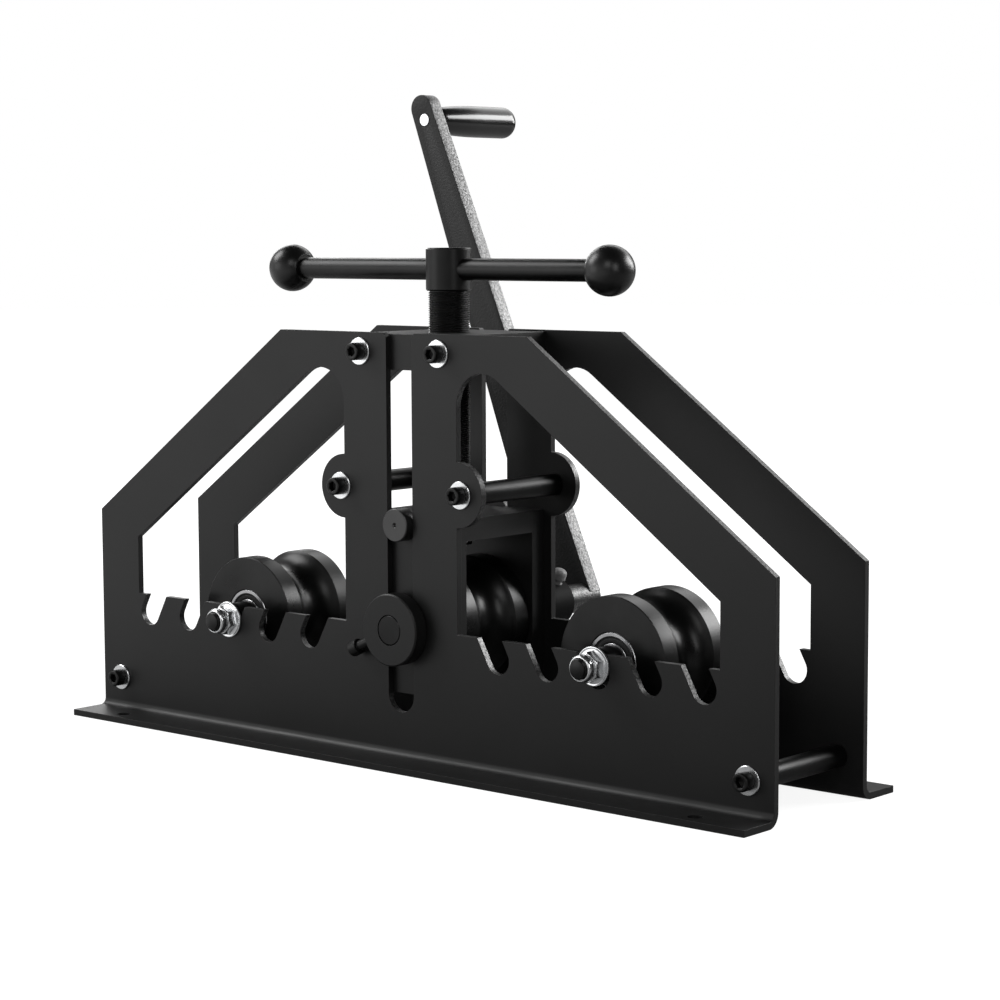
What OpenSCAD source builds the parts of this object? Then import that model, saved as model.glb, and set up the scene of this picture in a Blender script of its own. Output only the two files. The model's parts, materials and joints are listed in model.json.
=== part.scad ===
// Hand-cranked ring roller: two bent side plates, two outer dies in hook slots, and a
// middle die on a crank spindle that a jackscrew pushes down between the plates.
// X runs along the plates, Y from the front plate to the rear one, Z up.
// The origin is the middle of the four foot holes, on the face that the feet stand on.

/* [Side plates] */
// Length of a side plate
plate_l = 822; // [780:1:900]
// Height of a side plate, feet included
plate_h = 390; // [380:1:420]
// Thickness of the plate and of its foot
plate_t = 6; // [5:0.5:8]
// Height at which the upright ends turn into the slopes
shoulder_h = 204.5; // [195:0.5:215]
// Length of the flat top edge
crown_l = 301; // [290:1:320]
// Reach of the foot beyond the outer face of the plate
foot_reach = 41.5; // [36:0.5:50]
// Inside radius of the bend between plate and foot
bend_r = 6.5; // [4:0.5:9]

/* [Foot holes] */
// Diameter of a foot hole
foot_hole_d = 13; // [9:0.5:14]
// Distance of a foot hole from the end of the foot
foot_hole_in = 59; // [45:1:75]
// Distance of a foot hole from the free edge of the foot
foot_hole_edge = 14.5; // [12:0.5:16]

/* [Windows] */
// Width of the upright post at each end of the plate
post_w = 54.5; // [45:0.5:60]
// Width of the sloping brace above a window
brace_w = 51.5; // [44:0.5:56]
// Height of the lower edge of the windows
sill_h = 123.5; // [120:0.5:128]
// Radius of the upper inner corner of a window
corner_r = 30; // [20:1:36]
// Width of the column on each side of the centre slot
column_w = 53.5; // [52:0.5:58]
// Radius of the ear on a column
ear_r = 29.5; // [27:0.5:32]
// Height of the ears and of their tie rods
ear_h = 248.5; // [245:0.5:255]

/* [Centre slot] */
// Clearance of the spindle in the slot, on each side
slot_room = 1.5; // [1:0.25:3]
// Height of the lowest point of the slot
slot_floor = 46; // [40:1:56]
// Chamfer at the mouth of the slot
mouth_chamfer = 3.5; // [2:0.5:5]

/* [Hook slots] */
// Hook slots on each side of the centre
hook_count = 5; // [3:1:5]
// Distance of the first hook slot from the column
hook_in = 47.5; // [42:0.5:52]
// Distance of the last hook slot from the post
hook_out = 16; // [14:0.5:30]
// Lean of the hook slots from the upright, in degrees
hook_tilt = 28.5; // [15:0.5:32]
// Depth of the lowest point of a hook slot below the windows
hook_depth = 30.5; // [24:0.5:36]
// Clearance between an axle and its hook slot, all round
hook_clear = 0.2; // [0.1:0.05:0.3]
// Count of hook slots from the centre to the one that an axle lies in
axle_hook_count = 3; // [2:1:3]

/* [Nut block and jackscrew] */
// Height of the nut block
block_h = 32; // [26:1:38]
// Length of the nut block
block_l = 126; // [120:1:134]
// Depth of the top of the nut block below the plate tops
block_drop = 1.5; // [0.5:0.5:4]
// Outer diameter of the jackscrew
screw_d = 38; // [32:1:40]
// Thread that shows between the nut block and the screw head
screw_show = 37.9; // [30:0.1:45]
// Step from the screw to its neck, which turns in the yoke
neck_step = 7; // [5:0.5:9]
// Step from the screw out to its head
head_step = 2; // [1:0.5:4]
// Height of the screw head
head_h = 39; // [34:1:44]
// Step from the screw to the spigot inside its head
spigot_step = 5; // [4:0.5:6]
// Solid top of the screw head
head_cap = 6; // [4:0.5:8]
// Thickness of the washer under the screw
thrust_t = 3; // [2:0.5:4]
// Wall of the collar below the yoke bridge
screw_collar_wall = 8; // [5:0.5:10]
// Height of the collar below the yoke bridge
screw_collar_h = 10; // [8:0.5:11]
// Diameter of the pin through that collar
collar_pin_d = 5; // [4:0.5:6]

/* [T-bar] */
// Diameter of the bar
bar_d = 19; // [16:0.5:20]
// Distance between the centres of the two balls
bar_span = 390; // [340:1:440]
// Diameter of a ball
ball_d = 44.5; // [38:0.5:48]
// Shift of the bar away from its middle place
bar_shift = 5; // [0:0.5:6]
// Step from the bar to its spigot in a ball
ball_spigot_step = 3.5; // [2.5:0.5:5]
// Depth of the spigot in a ball
ball_spigot_l = 20; // [14:1:24]

/* [Dies] */
// Outer diameter of a die
die_d = 115; // [105:1:118]
// Width of a die
die_w = 87; // [84:0.5:90]
// Space on each side of the middle die, inside the yoke
die_side = 2.1; // [1:0.1:6]
// Centre of the round of the groove beyond the die's outer diameter
groove_out = 8.2; // [2:0.2:10]
// Radius of the tube groove
groove_r = 23; // [22.5:0.25:26]
// Step behind a bearing in the bore of an outer die
bore_step = 6; // [4.5:0.5:8]
// Chamfer on the edges of a die
die_chamfer = 1; // [0.5:0.25:1.5]

/* [Axles and bearings] */
// Diameter of an outer axle
axle_d = 25; // [22:0.5:25.5]
// Diameter of the thread at each end of an axle
stud_d = 16; // [14:0.5:18]
// Thread that shows beyond the nut
stud_past = 2; // [0.5:0.5:6]
// Height of the left axle above the bottom of its hook slot
left_lift = 4; // [0:0.5:8]
// Height of the right axle above the bottom of its hook slot
right_lift = 7; // [0:0.5:8]
// Radial space between the rings of a die bearing
race_gap = 5.7; // [5:0.1:6.5]
// Width of a die bearing
bearing_w = 15; // [13:0.5:16]
// Radial thickness of the outer ring
ring_t = 3.8; // [3:0.1:4.5]
// Radial thickness of the inner ring
inner_ring_t = 4; // [3.5:0.1:4.5]
// Wall of the spacer tubes
spacer_t = 2.5; // [1.5:0.25:3]

/* [Axle nuts] */
// Diameter of the flange of an axle nut
nut_flange_d = 34.5; // [31:0.5:36]
// Thickness of the flange, the edge and the cone above it
nut_flange_t = 5; // [4:0.25:6]
// Width across the flats
nut_flats = 24; // [22:0.5:26]
// Height of the nut, flange included
nut_h = 24; // [21:0.5:25]
// Height of the round collar that holds the nylon ring
nut_collar_h = 7; // [5:0.5:8]

/* [Yoke] */
// Gap between the yoke and the tie rods at the ears
yoke_side = 3.5; // [2:0.5:8]
// Thickness of the bridge
bridge_t = 20; // [18:0.5:24]
// Thickness of a cheek
cheek_t = 16; // [14.5:0.5:16.5]
// Height of the spindle axis in the place shown
spindle_h = 123; // [120:0.5:126]
// Space between the middle die and the collar under the bridge
collar_room = 13.6; // [5:0.2:18]
// Reach of the cheeks below the middle die
cheek_reach = 3; // [1:0.5:6]
// Running gap between a cheek and its plate
yoke_gap = 0.4; // [0.3:0.05:0.5]
// Clearance of a guide button in the centre slot, on each side
guide_room = 0.5; // [0.3:0.05:1]
// Distance that a guide button stands out from the plate
guide_out = 7.3; // [4:0.1:9]
// Metal above the shank of a guide button, up to the top of the yoke
guide_edge = 1; // [0.5:0.25:3]
// Diameter of the shank of a guide button
guide_shank_d = 12; // [10:0.5:14]

/* [Spindle] */
// Diameter of the spindle
spindle_d = 28; // [26:0.5:28.5]
// Width of a spindle bearing
spindle_bearing_w = 12; // [10:0.5:12.5]
// Radial space between the rings of a spindle bearing
spindle_race_gap = 4.2; // [3.5:0.1:5]
// Width of the key in the middle die
key_w = 8; // [6:0.5:10]
// Height of the key
key_h = 7; // [6:0.5:8]
// Distance of the key from the faces of the middle die
key_in = 13.5; // [5:0.5:20]
// Diameter of a shaft collar
collar_d = 66; // [60:1:70]
// Width of a shaft collar
collar_t = 15; // [13:0.5:16]
// Gap between a shaft collar and the plate
collar_gap = 0.6; // [0.4:0.1:0.8]
// Diameter of the clamp screws
clamp_d = 11; // [9:0.5:11.5]
// Distance that a collar screw stands out of its collar
collar_screw_out = 25; // [17:0.5:26]
// Lean of the collar screws from the upright, in degrees, to the left and down
collar_screw_lean = 114; // [90:1:150]

/* [Crank] */
// Diameter of the crank hub
hub_d = 42; // [38:0.5:44]
// Length of the crank hub
hub_l = 70; // [60:1:80]
// Length of stub between hub and arm
stub_show = 34.5; // [33:0.5:40]
// Distance that a hub screw stands out of the hub
hub_screw_out = 17; // [10:0.5:20]
// Direction of the hub screws, in degrees right of the upright
hub_screw_lean = 25; // [0:1:60]
// Width of the crank arm
arm_w = 32; // [30:0.5:36]
// Thickness of the crank arm
arm_t = 16; // [12:0.5:18]
// Distance of the grip from the spindle axis
crank_r = 511; // [440:1:540]
// Arm beyond the grip, up to the centre of its round end
arm_past = 8.7; // [4:0.1:12]
// Lean of the crank from the upright in the place shown, in degrees
crank_lean = 23.3; // [22:0.1:30]
// Height above the spindle axis at which the arm starts
arm_start = 1; // [0.5:0.5:6]

/* [Grip] */
// Length of the grip
grip_l = 113; // [90:1:130]
// Largest diameter of the grip
grip_d = 32; // [28:0.5:36]
// Diameter of the grip beside the arm
grip_neck_d = 25; // [22:0.5:27]
// Diameter of the pin in the grip
pin_d = 12; // [10:0.5:14]
// Distance that the pin stands out from the front of the arm
pin_proud = 0.5; // [0:0.1:1]
// Gap between the arm and the grip
grip_gap = 0.4; // [0.2:0.1:0.8]

/* [Bolts] */
// Diameter of the frame screws
bolt_d = 10; // [8:0.5:10.5]
// Step from a frame screw out to its head
bolt_head_step = 3; // [2:0.25:3.5]
// Height of the head of a frame screw
bolt_head_h = 10; // [8:0.5:11]
// Length of a frame screw inside the rod or block
bolt_bite = 25; // [15:1:30]
// Step from a frame screw out to the edge of its washer
washer_step = 7.5; // [5:0.25:8]
// Thickness of a washer
washer_t = 2; // [1.5:0.25:2.5]
// Width of the hexagon in a frame screw
socket_w = 8; // [6:0.5:9]
// Depth of the hexagon
socket_l = 5; // [4:0.5:6]
// Distance of the block screws from the ends of the block
block_bolt_in = 15.2; // [12:0.2:18]
// Diameter of a tie rod
tie_d = 20; // [18:0.5:20]
// Distance of the tie rods at the ears from the edge of the column
ear_tie_out = 4.5; // [3:0.5:9]
// Distance of the tie rods at the feet from the ends of the plates
foot_tie_in = 26; // [20:1:32]
// Height of the foot tie rods
foot_tie_h = 36; // [32:0.5:40]
// Diameter of the screws between cheek and bridge
cheek_screw_d = 8; // [6:0.5:9]
// Distance of the cheek screws from the sides of the yoke
cheek_screw_in = 20; // [14:0.5:26]
// Chamfer on the ends of turned parts
turned_chamfer = 0.8; // [0.4:0.1:1]
// Chamfer on the rims of the screw head, the collars and the hub
rim_chamfer = 1.2; // [0.8:0.1:1.6]

/* [Hidden] */
$fn = 96;

// Powder coat, black oxide, bright zinc, ground steel, bronze and black plastic
coat = "#2c2c2d";
oxide = "#1d1d1e";
zinc = "#d9dadb";
steel = "#9a9b9d";
bronze = "#a87f45";
plastic = "#0e0e0f";
rubber = "#121212";

// Radial clearance of a turned fit
fit = 0.05;
// Extra clearance all round a screw in its through hole
hole_clear = 0.5;
// Overrun of a cut past the face that it starts from
cut = 1;
// Gap between parts that turn against each other
run = 0.3;
// Depth of the bearing seals below the faces of the rings
seal_in = 0.6;

// Faces of the plates
in_y = die_w / 2 + die_side + cheek_t + yoke_gap;
out_y = in_y + plate_t;
// Half sizes along X
half_l = plate_l / 2;
slot_x = spindle_d / 2 + slot_room;
column_x = slot_x + column_w;
window_x = half_l - post_w;
fold_h = plate_t + bend_r;
foot_hole_x = half_l - foot_hole_in;
foot_hole_y = out_y + foot_reach - foot_hole_edge;

// Slope of the plate: unit direction from the shoulder to the crown, and its inward normal
slope_run = half_l - crown_l / 2;
slope_rise = plate_h - shoulder_h;
slope_len = norm([slope_run, slope_rise]);
slope_u = [-slope_run / slope_len, slope_rise / slope_len];
slope_n = [-slope_rise / slope_len, -slope_run / slope_len];
shoulder = [half_l, shoulder_h];
function along_brace(offset, x) =
    shoulder + slope_u * ((x - shoulder.x - offset * slope_n.x) / slope_u.x) + slope_n * offset;
corner_c = along_brace(brace_w + corner_r, column_x + corner_r);
corner_t = corner_c - slope_n * corner_r;
window_top = along_brace(brace_w, window_x);

// Hook slots
hook_r = axle_d / 2 + hook_clear;
hook_z = sill_h - hook_depth + hook_r;
hook_first = column_x + hook_in;
hook_pitch = (window_x - hook_out - hook_first) / (hook_count - 1);
hook_l = (sill_h - hook_z) / cos(hook_tilt) + hook_r * tan(hook_tilt) + cut;
axle_hook_x = hook_first + (axle_hook_count - 1) * hook_pitch;
function axle_x(lift) = axle_hook_x - lift * tan(hook_tilt);
function axle_z(lift) = hook_z + lift;

// Fasteners of the plates: places in X and Z
block_z = plate_h - block_drop - block_h / 2;
block_bolt_x = block_l / 2 - block_bolt_in;
ear_tie_x = column_x + ear_tie_out;
foot_tie_x = half_l - foot_tie_in;
bolt_side = [[block_bolt_x, block_z], [ear_tie_x, ear_h], [foot_tie_x, foot_tie_h]];
bolt_places = [for (s = [-1, 1]) for (p = bolt_side) [s * p.x, p.y]];
bolt_hole_d = bolt_d + 2 * hole_clear;
bolt_head_d = bolt_d + 2 * bolt_head_step;
washer_d = bolt_d + 2 * washer_step;

// Dies and their bearings
groove_c = die_d / 2 + groove_out;
inner_ring_d = axle_d + 2 * inner_ring_t;
bearing_bore = inner_ring_d + 2 * race_gap;
bearing_d = bearing_bore + 2 * ring_t;
die_core_d = bearing_d - 2 * bore_step;

// Axles and their nuts
stud_end = out_y + nut_h + stud_past;
nut_hex_h = nut_h - nut_collar_h;
hex_share = 2 / sqrt(3);
// Straight edge of the flange beside the flange thickness
edge_share = 0.25;

// Yoke
yoke_y = in_y - yoke_gap;
cheek_y = yoke_y - cheek_t;
yoke_x = ear_tie_x - tie_d / 2 - yoke_side;
bridge_z = spindle_h + die_d / 2 + collar_room + screw_collar_h + run;
yoke_top = bridge_z + bridge_t;
cheek_bottom = spindle_h - die_d / 2 - cheek_reach;
guide_d = 2 * (slot_x - guide_room);
guide_z = yoke_top - guide_edge - guide_shank_d / 2;
cheek_screw_x = yoke_x - cheek_screw_in;
cheek_screw_z = bridge_z + bridge_t / 2;
// Size of the head of a cheek screw beside its shank
cheek_head_share = 1.6;
cheek_head_d = cheek_screw_d * cheek_head_share;
cheek_screw_l = cheek_t + 2 * cheek_screw_d;
bearing_in_y = cheek_y + spindle_bearing_w;
spindle_ring_d = spindle_d + 2 * inner_ring_t;
spindle_race_d = spindle_ring_d + 2 * spindle_race_gap;
spindle_bearing_d = spindle_race_d + 2 * ring_t;

// Jackscrew
neck_d = screw_d - 2 * neck_step;
spigot_d = screw_d - 2 * spigot_step;
head_d = screw_d + 2 * head_step;
screw_collar_d = neck_d + 2 * screw_collar_wall;
block_top = plate_h - block_drop;
block_bottom = block_top - block_h;
screw_foot = yoke_top + thrust_t;
neck_z = bridge_z - run - screw_collar_h;
collar_pin_z = neck_z + screw_collar_h / 2;
head_z = block_top + screw_show;
head_top = head_z + head_h;
bar_z = head_z + head_h / 2;
spigot_l = head_h - head_cap;
ball_r = ball_d / 2;
bar_end_r = bar_d / 2;
ball_flat = sqrt(ball_r * ball_r - bar_end_r * bar_end_r);
ball_spigot_d = bar_d - 2 * ball_spigot_step;
bar_hole_d = bar_d + 2 * run;

// Distance of the first hub screw from the end of the hub, beside its diameter
hub_screw_share = 1.5;
// Length of the taper of the grip, and radius of its rounded end beside its diameter
taper_share = 0.45;
round_share = 0.35;

// Spindle and crank
collar_in_y = out_y + collar_gap;
collar_out_y = collar_in_y + collar_t;
hub_y = collar_out_y + run;
hub_end = hub_y + hub_l;
joint_y = hub_y + hub_l / 2;
arm_y = hub_end + stub_show;
arm_end = arm_y + arm_t;
grip_y = arm_end + grip_gap;
arm_l = crank_r + arm_past;
collar_mid = collar_in_y + collar_t / 2;
collar_screw_reach = collar_d / 2 + collar_screw_out;
hub_screw_reach = hub_d / 2 + hub_screw_out;
key_l = die_w - 2 * key_in;
hub_screw_y = [hub_y + clamp_d * hub_screw_share, hub_end - clamp_d];
pin_end = grip_y + grip_l - grip_d / 2;
round_r = grip_d * round_share;

// A cylinder along Y from y0 to y1
module rod(d, y0, y1) {
    translate([0, y0, 0]) rotate([-90, 0, 0]) cylinder(d = d, h = y1 - y0);
}

// A rod along Y with both ends chamfered
module turned(d, y0, y1, c = turned_chamfer) {
    l = y1 - y0;
    translate([0, y0, 0]) rotate([-90, 0, 0]) rotate_extrude()
        polygon([[0, 0], [d / 2 - c, 0], [d / 2, c], [d / 2, l - c], [d / 2 - c, l], [0, l]]);
}

// A ring along Y from y0 to y1
module ring(outer, inner, y0, y1) {
    difference() {
        rod(outer, y0, y1);
        rod(inner, y0 - cut, y1 + cut);
    }
}

// The children, and their mirror image behind the middle plane
module front_and_rear() {
    children();
    mirror([0, 1, 0]) children();
}

// One hook slot of the right-hand side, with a round bottom
module hook_slot() {
    circle(r = hook_r);
    rotate(hook_tilt) translate([-hook_r, 0]) square([2 * hook_r, hook_l]);
}

// Right-hand window with its rounded upper corner
module window() {
    polygon([[column_x, sill_h], [window_x, sill_h], window_top, corner_t, corner_c,
        [column_x, corner_c.y]]);
    translate(corner_c) circle(r = corner_r);
}

// Right-hand half of the cut-outs of a plate
module half_cuts() {
    difference() {
        window();
        translate([column_x, ear_h]) circle(r = ear_r);
    }
    for (i = [0 : hook_count - 1]) translate([hook_first + i * hook_pitch, hook_z]) hook_slot();
}

// Centre slot, open at the top, with a chamfered mouth
module centre_slot() {
    translate([0, slot_floor + slot_x]) circle(r = slot_x);
    translate([-slot_x, slot_floor + slot_x]) square([2 * slot_x, plate_h - slot_floor - slot_x + cut]);
    polygon([[-slot_x, plate_h - mouth_chamfer], [slot_x, plate_h - mouth_chamfer],
        [slot_x + mouth_chamfer + cut, plate_h + cut], [-slot_x - mouth_chamfer - cut, plate_h + cut]]);
}

// Flat outline of a plate above its bend, in X and Z
module plate_outline() {
    difference() {
        polygon([[-half_l, fold_h], [half_l, fold_h], [half_l, shoulder_h], [crown_l / 2, plate_h],
            [-crown_l / 2, plate_h], [-half_l, shoulder_h]]);
        half_cuts();
        mirror([1, 0]) half_cuts();
        centre_slot();
        for (p = bolt_places) translate(p) circle(d = bolt_hole_d);
    }
}

// Section of the bend and the foot, in Y and Z
module foot_section() {
    translate([-out_y - bend_r, fold_h]) difference() {
        translate([0, -fold_h]) intersection() {
            translate([0, fold_h]) circle(r = fold_h);
            square(fold_h);
        }
        circle(r = bend_r);
    }
    translate([-out_y - foot_reach, 0]) square([foot_reach - bend_r, plate_t]);
}

// One side plate in the front place
module side_plate() {
    difference() {
        union() {
            translate([0, -in_y, 0]) rotate([90, 0, 0]) linear_extrude(plate_t) plate_outline();
            translate([-half_l, 0, 0]) rotate([90, 0, 90]) linear_extrude(plate_l) foot_section();
        }
        for (s = [-1, 1]) translate([s * foot_hole_x, -foot_hole_y, -cut])
            cylinder(d = foot_hole_d, h = plate_t + 2 * cut);
    }
}

module front_plate() { color(coat) side_plate(); }
module rear_plate() { color(coat) mirror([0, 1, 0]) side_plate(); }

// Block between the plate tops, bored for the screw and for its four bolts
module nut_block() {
    color(coat) difference() {
        translate([-block_l / 2, -in_y, block_bottom]) cube([block_l, 2 * in_y, block_h]);
        translate([0, 0, block_bottom - cut]) cylinder(d = screw_d + 2 * fit, h = block_h + 2 * cut);
        front_and_rear() for (s = [-1, 1]) translate([s * block_bolt_x, 0, block_z])
            rod(bolt_d + 2 * fit, -in_y - cut, -in_y + bolt_bite + cut);
    }
}

// Tie rod between the plates, with a tapped hole in each end
module tie_rod(x, z) {
    color(coat) translate([x, 0, z]) difference() {
        rod(tie_d, -in_y, in_y);
        front_and_rear() rod(bolt_d + 2 * fit, -in_y - cut, -in_y + bolt_bite + cut);
    }
}

module ear_tie_left() { tie_rod(-ear_tie_x, ear_h); }
module ear_tie_right() { tie_rod(ear_tie_x, ear_h); }
module foot_tie_left() { tie_rod(-foot_tie_x, foot_tie_h); }
module foot_tie_right() { tie_rod(foot_tie_x, foot_tie_h); }

// Socket head cap screw whose head lies on the washer outside the front plate
module frame_screw() {
    head_y = -out_y - washer_t;
    difference() {
        union() {
            rod(bolt_d, head_y - bolt_head_h / 2, -in_y + bolt_bite);
            turned(bolt_head_d, head_y - bolt_head_h, head_y);
        }
        translate([0, head_y - bolt_head_h - cut, 0]) rotate([-90, 0, 0])
            cylinder(d = socket_w * hex_share, h = socket_l + cut, $fn = 6);
    }
}

module washer() { ring(washer_d, bolt_hole_d, -out_y - washer_t, -out_y); }

module front_screws() { color(oxide) for (p = bolt_places) translate([p.x, 0, p.y]) frame_screw(); }
module rear_screws() {
    color(oxide) mirror([0, 1, 0]) for (p = bolt_places) translate([p.x, 0, p.y]) frame_screw();
}
module front_washers() { color(zinc) for (p = bolt_places) translate([p.x, 0, p.y]) washer(); }
module rear_washers() {
    color(zinc) mirror([0, 1, 0]) for (p = bolt_places) translate([p.x, 0, p.y]) washer();
}

// Places an outer die's children on its axle
module at_left() { translate([-axle_x(left_lift), 0, axle_z(left_lift)]) children(); }
module at_right() { translate([axle_x(right_lift), 0, axle_z(right_lift)]) children(); }

// Axle whose shoulders end just inside the outer faces of the plates
module axle() {
    color(oxide) {
        rod(axle_d, -out_y + run, out_y - run);
        turned(stud_d, -stud_end, stud_end, rim_chamfer);
    }
}

// Half section of the round body of a lock nut: flange edge, cone, and the collar of the nylon ring
module nut_body() {
    polygon([[0, 0], [nut_flange_d / 2, 0], [nut_flange_d / 2, nut_flange_t * edge_share],
        [nut_flats / 2, nut_flange_t], [nut_flats / 2, nut_h - rim_chamfer],
        [nut_flats / 2 - rim_chamfer, nut_h], [0, nut_h]]);
}

// Half section of the cone that takes the outer corners off the hexagon
module corner_cone() {
    polygon([[0, 0], [nut_flats, 0], [nut_flats / 2, nut_hex_h], [0, nut_hex_h]]);
}

// Flanged lock nut that lies on the front plate
module axle_nut() {
    translate([0, -out_y, 0]) rotate([90, 0, 0]) difference() {
        union() {
            rotate_extrude() nut_body();
            intersection() {
                rotate_extrude() corner_cone();
                cylinder(d = nut_flats * hex_share, h = nut_hex_h, $fn = 6);
            }
        }
        translate([0, 0, -cut]) cylinder(d = stud_d + 2 * fit, h = nut_h + 2 * cut);
    }
}

// Spacer tubes between the plates and the inner rings
module spacers() {
    color(oxide) front_and_rear() ring(axle_d + 2 * spacer_t, axle_d + 2 * fit, -in_y, -die_w / 2);
}

// Inner and outer rings and seals of the two bearings of a die
module inner_rings() {
    color(steel) front_and_rear()
        ring(inner_ring_d, axle_d + 2 * fit, -die_w / 2, -die_w / 2 + bearing_w);
}
module outer_rings() {
    color(steel) front_and_rear()
        ring(bearing_d, bearing_bore, -die_w / 2, -die_w / 2 + bearing_w);
}
module seals() {
    color(rubber) front_and_rear()
        ring(bearing_bore - 2 * fit, inner_ring_d + 2 * run,
            seal_in - die_w / 2, bearing_w - seal_in - die_w / 2);
}
// Turned die: chamfered rims and a tube groove
module die_blank() {
    rotate([90, 0, 0]) rotate_extrude() difference() {
        polygon([[0, -die_w / 2], [die_d / 2 - die_chamfer, -die_w / 2],
            [die_d / 2, die_chamfer - die_w / 2], [die_d / 2, die_w / 2 - die_chamfer],
            [die_d / 2 - die_chamfer, die_w / 2], [0, die_w / 2]]);
        translate([groove_c, 0]) circle(r = groove_r);
    }
}

// Outer die, bored for a bearing in each face
module outer_die() {
    color(oxide) difference() {
        die_blank();
        rod(die_core_d, -die_w / 2 - cut, die_w / 2 + cut);
        front_and_rear() rod(bearing_d + 2 * fit, -die_w / 2 - cut, -die_w / 2 + bearing_w);
    }
}

module left_axle() { at_left() axle(); }
module right_axle() { at_right() axle(); }
module left_axle_nuts() { color(zinc) at_left() front_and_rear() axle_nut(); }
module right_axle_nuts() { color(zinc) at_right() front_and_rear() axle_nut(); }
module left_spacers() { at_left() spacers(); }
module right_spacers() { at_right() spacers(); }
module left_inner_rings() { at_left() inner_rings(); }
module right_inner_rings() { at_right() inner_rings(); }
module left_outer_rings() { at_left() outer_rings(); }
module right_outer_rings() { at_right() outer_rings(); }
module left_seals() { at_left() seals(); }
module right_seals() { at_right() seals(); }
module left_die() { at_left() outer_die(); }
module right_die() { at_right() outer_die(); }

// Places children on the spindle axis
module on_spindle() { translate([0, 0, spindle_h]) children(); }

// Screws that join a cheek to the bridge, at both ends of its top
module at_cheek_screws() {
    for (s = [-1, 1]) translate([s * cheek_screw_x, 0, cheek_screw_z]) children();
}
// Bridge of the yoke, bored for the neck of the screw
module yoke_bridge() {
    color(coat) difference() {
        translate([-yoke_x, -cheek_y, bridge_z]) cube([2 * yoke_x, 2 * cheek_y, bridge_t]);
        translate([0, 0, bridge_z - cut]) cylinder(d = neck_d + 2 * fit, h = bridge_t + 2 * cut);
        front_and_rear() at_cheek_screws()
            rod(cheek_screw_d + 2 * fit, -cheek_y - cut, -yoke_y + cheek_screw_l + cut);
    }
}

// Cheek of the yoke, with the seat of a spindle bearing
module cheek() {
    color(coat) difference() {
        translate([-yoke_x, -yoke_y, cheek_bottom])
            cube([2 * yoke_x, cheek_t, yoke_top - cheek_bottom]);
        on_spindle() rod(spindle_bearing_d + 2 * fit, -bearing_in_y, -cheek_y + cut);
        on_spindle() rod(spindle_race_d, -yoke_y - cut, -cheek_y);
        translate([0, 0, guide_z]) rod(guide_shank_d + 2 * fit, -yoke_y - cut, -cheek_y + cut);
        at_cheek_screws() rod(cheek_screw_d + 2 * fit, -yoke_y - cut, -cheek_y + cut);
        at_cheek_screws() rod(cheek_head_d + 2 * fit, -yoke_y - cut, -yoke_y + cheek_screw_d);
    }
}

module front_cheek() { cheek(); }
module rear_cheek() { mirror([0, 1, 0]) cheek(); }

// Guide button that runs in the centre slot, with its shank in the cheek
module guide() {
    color(oxide) translate([0, 0, guide_z]) {
        turned(guide_d, -out_y - guide_out, -yoke_y);
        rod(guide_shank_d, -yoke_y - cut, -cheek_y);
    }
}
module front_guide() { guide(); }
module rear_guide() { mirror([0, 1, 0]) guide(); }

// Screws sunk in the cheeks
module cheek_screws() {
    color(oxide) front_and_rear() at_cheek_screws() {
        rod(cheek_head_d, -yoke_y + run, -yoke_y + cheek_screw_d);
        rod(cheek_screw_d, -yoke_y + cheek_screw_d, -yoke_y + cheek_screw_l);
    }
}

module spindle_outer_rings() {
    color(steel) on_spindle() front_and_rear()
        ring(spindle_bearing_d, spindle_race_d, -bearing_in_y, -cheek_y);
}
module spindle_inner_rings() {
    color(steel) on_spindle() front_and_rear()
        ring(spindle_ring_d, spindle_d + 2 * fit, -bearing_in_y, -cheek_y);
}

// Bronze washer that takes the push of the screw
module thrust_washer() {
    color(bronze) translate([0, 0, yoke_top]) difference() {
        cylinder(d = screw_d, h = thrust_t);
        translate([0, 0, -cut]) cylinder(d = neck_d + 2 * fit, h = thrust_t + 2 * cut);
    }
}

// Jackscrew: neck in the yoke, threaded body, and the spigot that carries the head
module jackscrew() {
    color(oxide) difference() {
        union() {
            translate([0, 0, neck_z]) cylinder(d = neck_d, h = screw_foot - neck_z);
            translate([0, 0, screw_foot]) cylinder(d = screw_d, h = head_z - screw_foot);
            translate([0, 0, head_z]) cylinder(d = spigot_d, h = spigot_l);
        }
        bar_hole();
        collar_pin_hole();
    }
}

// Cross hole for the bar
module bar_hole() {
    translate([0, 0, bar_z]) rotate([0, 90, 0]) cylinder(d = bar_hole_d, h = 2 * head_d, center = true);
}

// Cross hole for the pin of the collar below the bridge
module collar_pin_hole() {
    translate([0, 0, collar_pin_z]) rotate([0, 90, 0])
        cylinder(d = collar_pin_d + 2 * fit, h = screw_collar_d + 2 * cut, center = true);
}

// Head of the screw, with the cross hole for the bar
module screw_head() {
    color(oxide) difference() {
        rotate([90, 0, 0]) turned(head_d, head_z, head_top, rim_chamfer);
        translate([0, 0, head_z - cut]) cylinder(d = spigot_d + 2 * fit, h = cut + spigot_l + fit);
        bar_hole();
    }
}

// Collar that lifts the yoke with the screw, and its pin
module screw_collar() {
    color(oxide) difference() {
        translate([0, 0, neck_z]) cylinder(d = screw_collar_d, h = screw_collar_h);
        translate([0, 0, neck_z - cut]) cylinder(d = neck_d + 2 * fit, h = screw_collar_h + 2 * cut);
        collar_pin_hole();
    }
}
module collar_pin() {
    color(steel) translate([0, 0, collar_pin_z]) rotate([0, 90, 0])
        cylinder(d = collar_pin_d, h = screw_collar_d, center = true);
}

// Bar of the T, with a spigot for the ball at each end
module tommy_bar() {
    bar_l = bar_span - 2 * ball_flat;
    color(oxide) translate([-bar_shift, 0, bar_z]) rotate([0, 90, 0]) {
        cylinder(d = bar_d, h = bar_l, center = true);
        cylinder(d = ball_spigot_d, h = bar_l + 2 * ball_spigot_l, center = true);
    }
}

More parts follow.
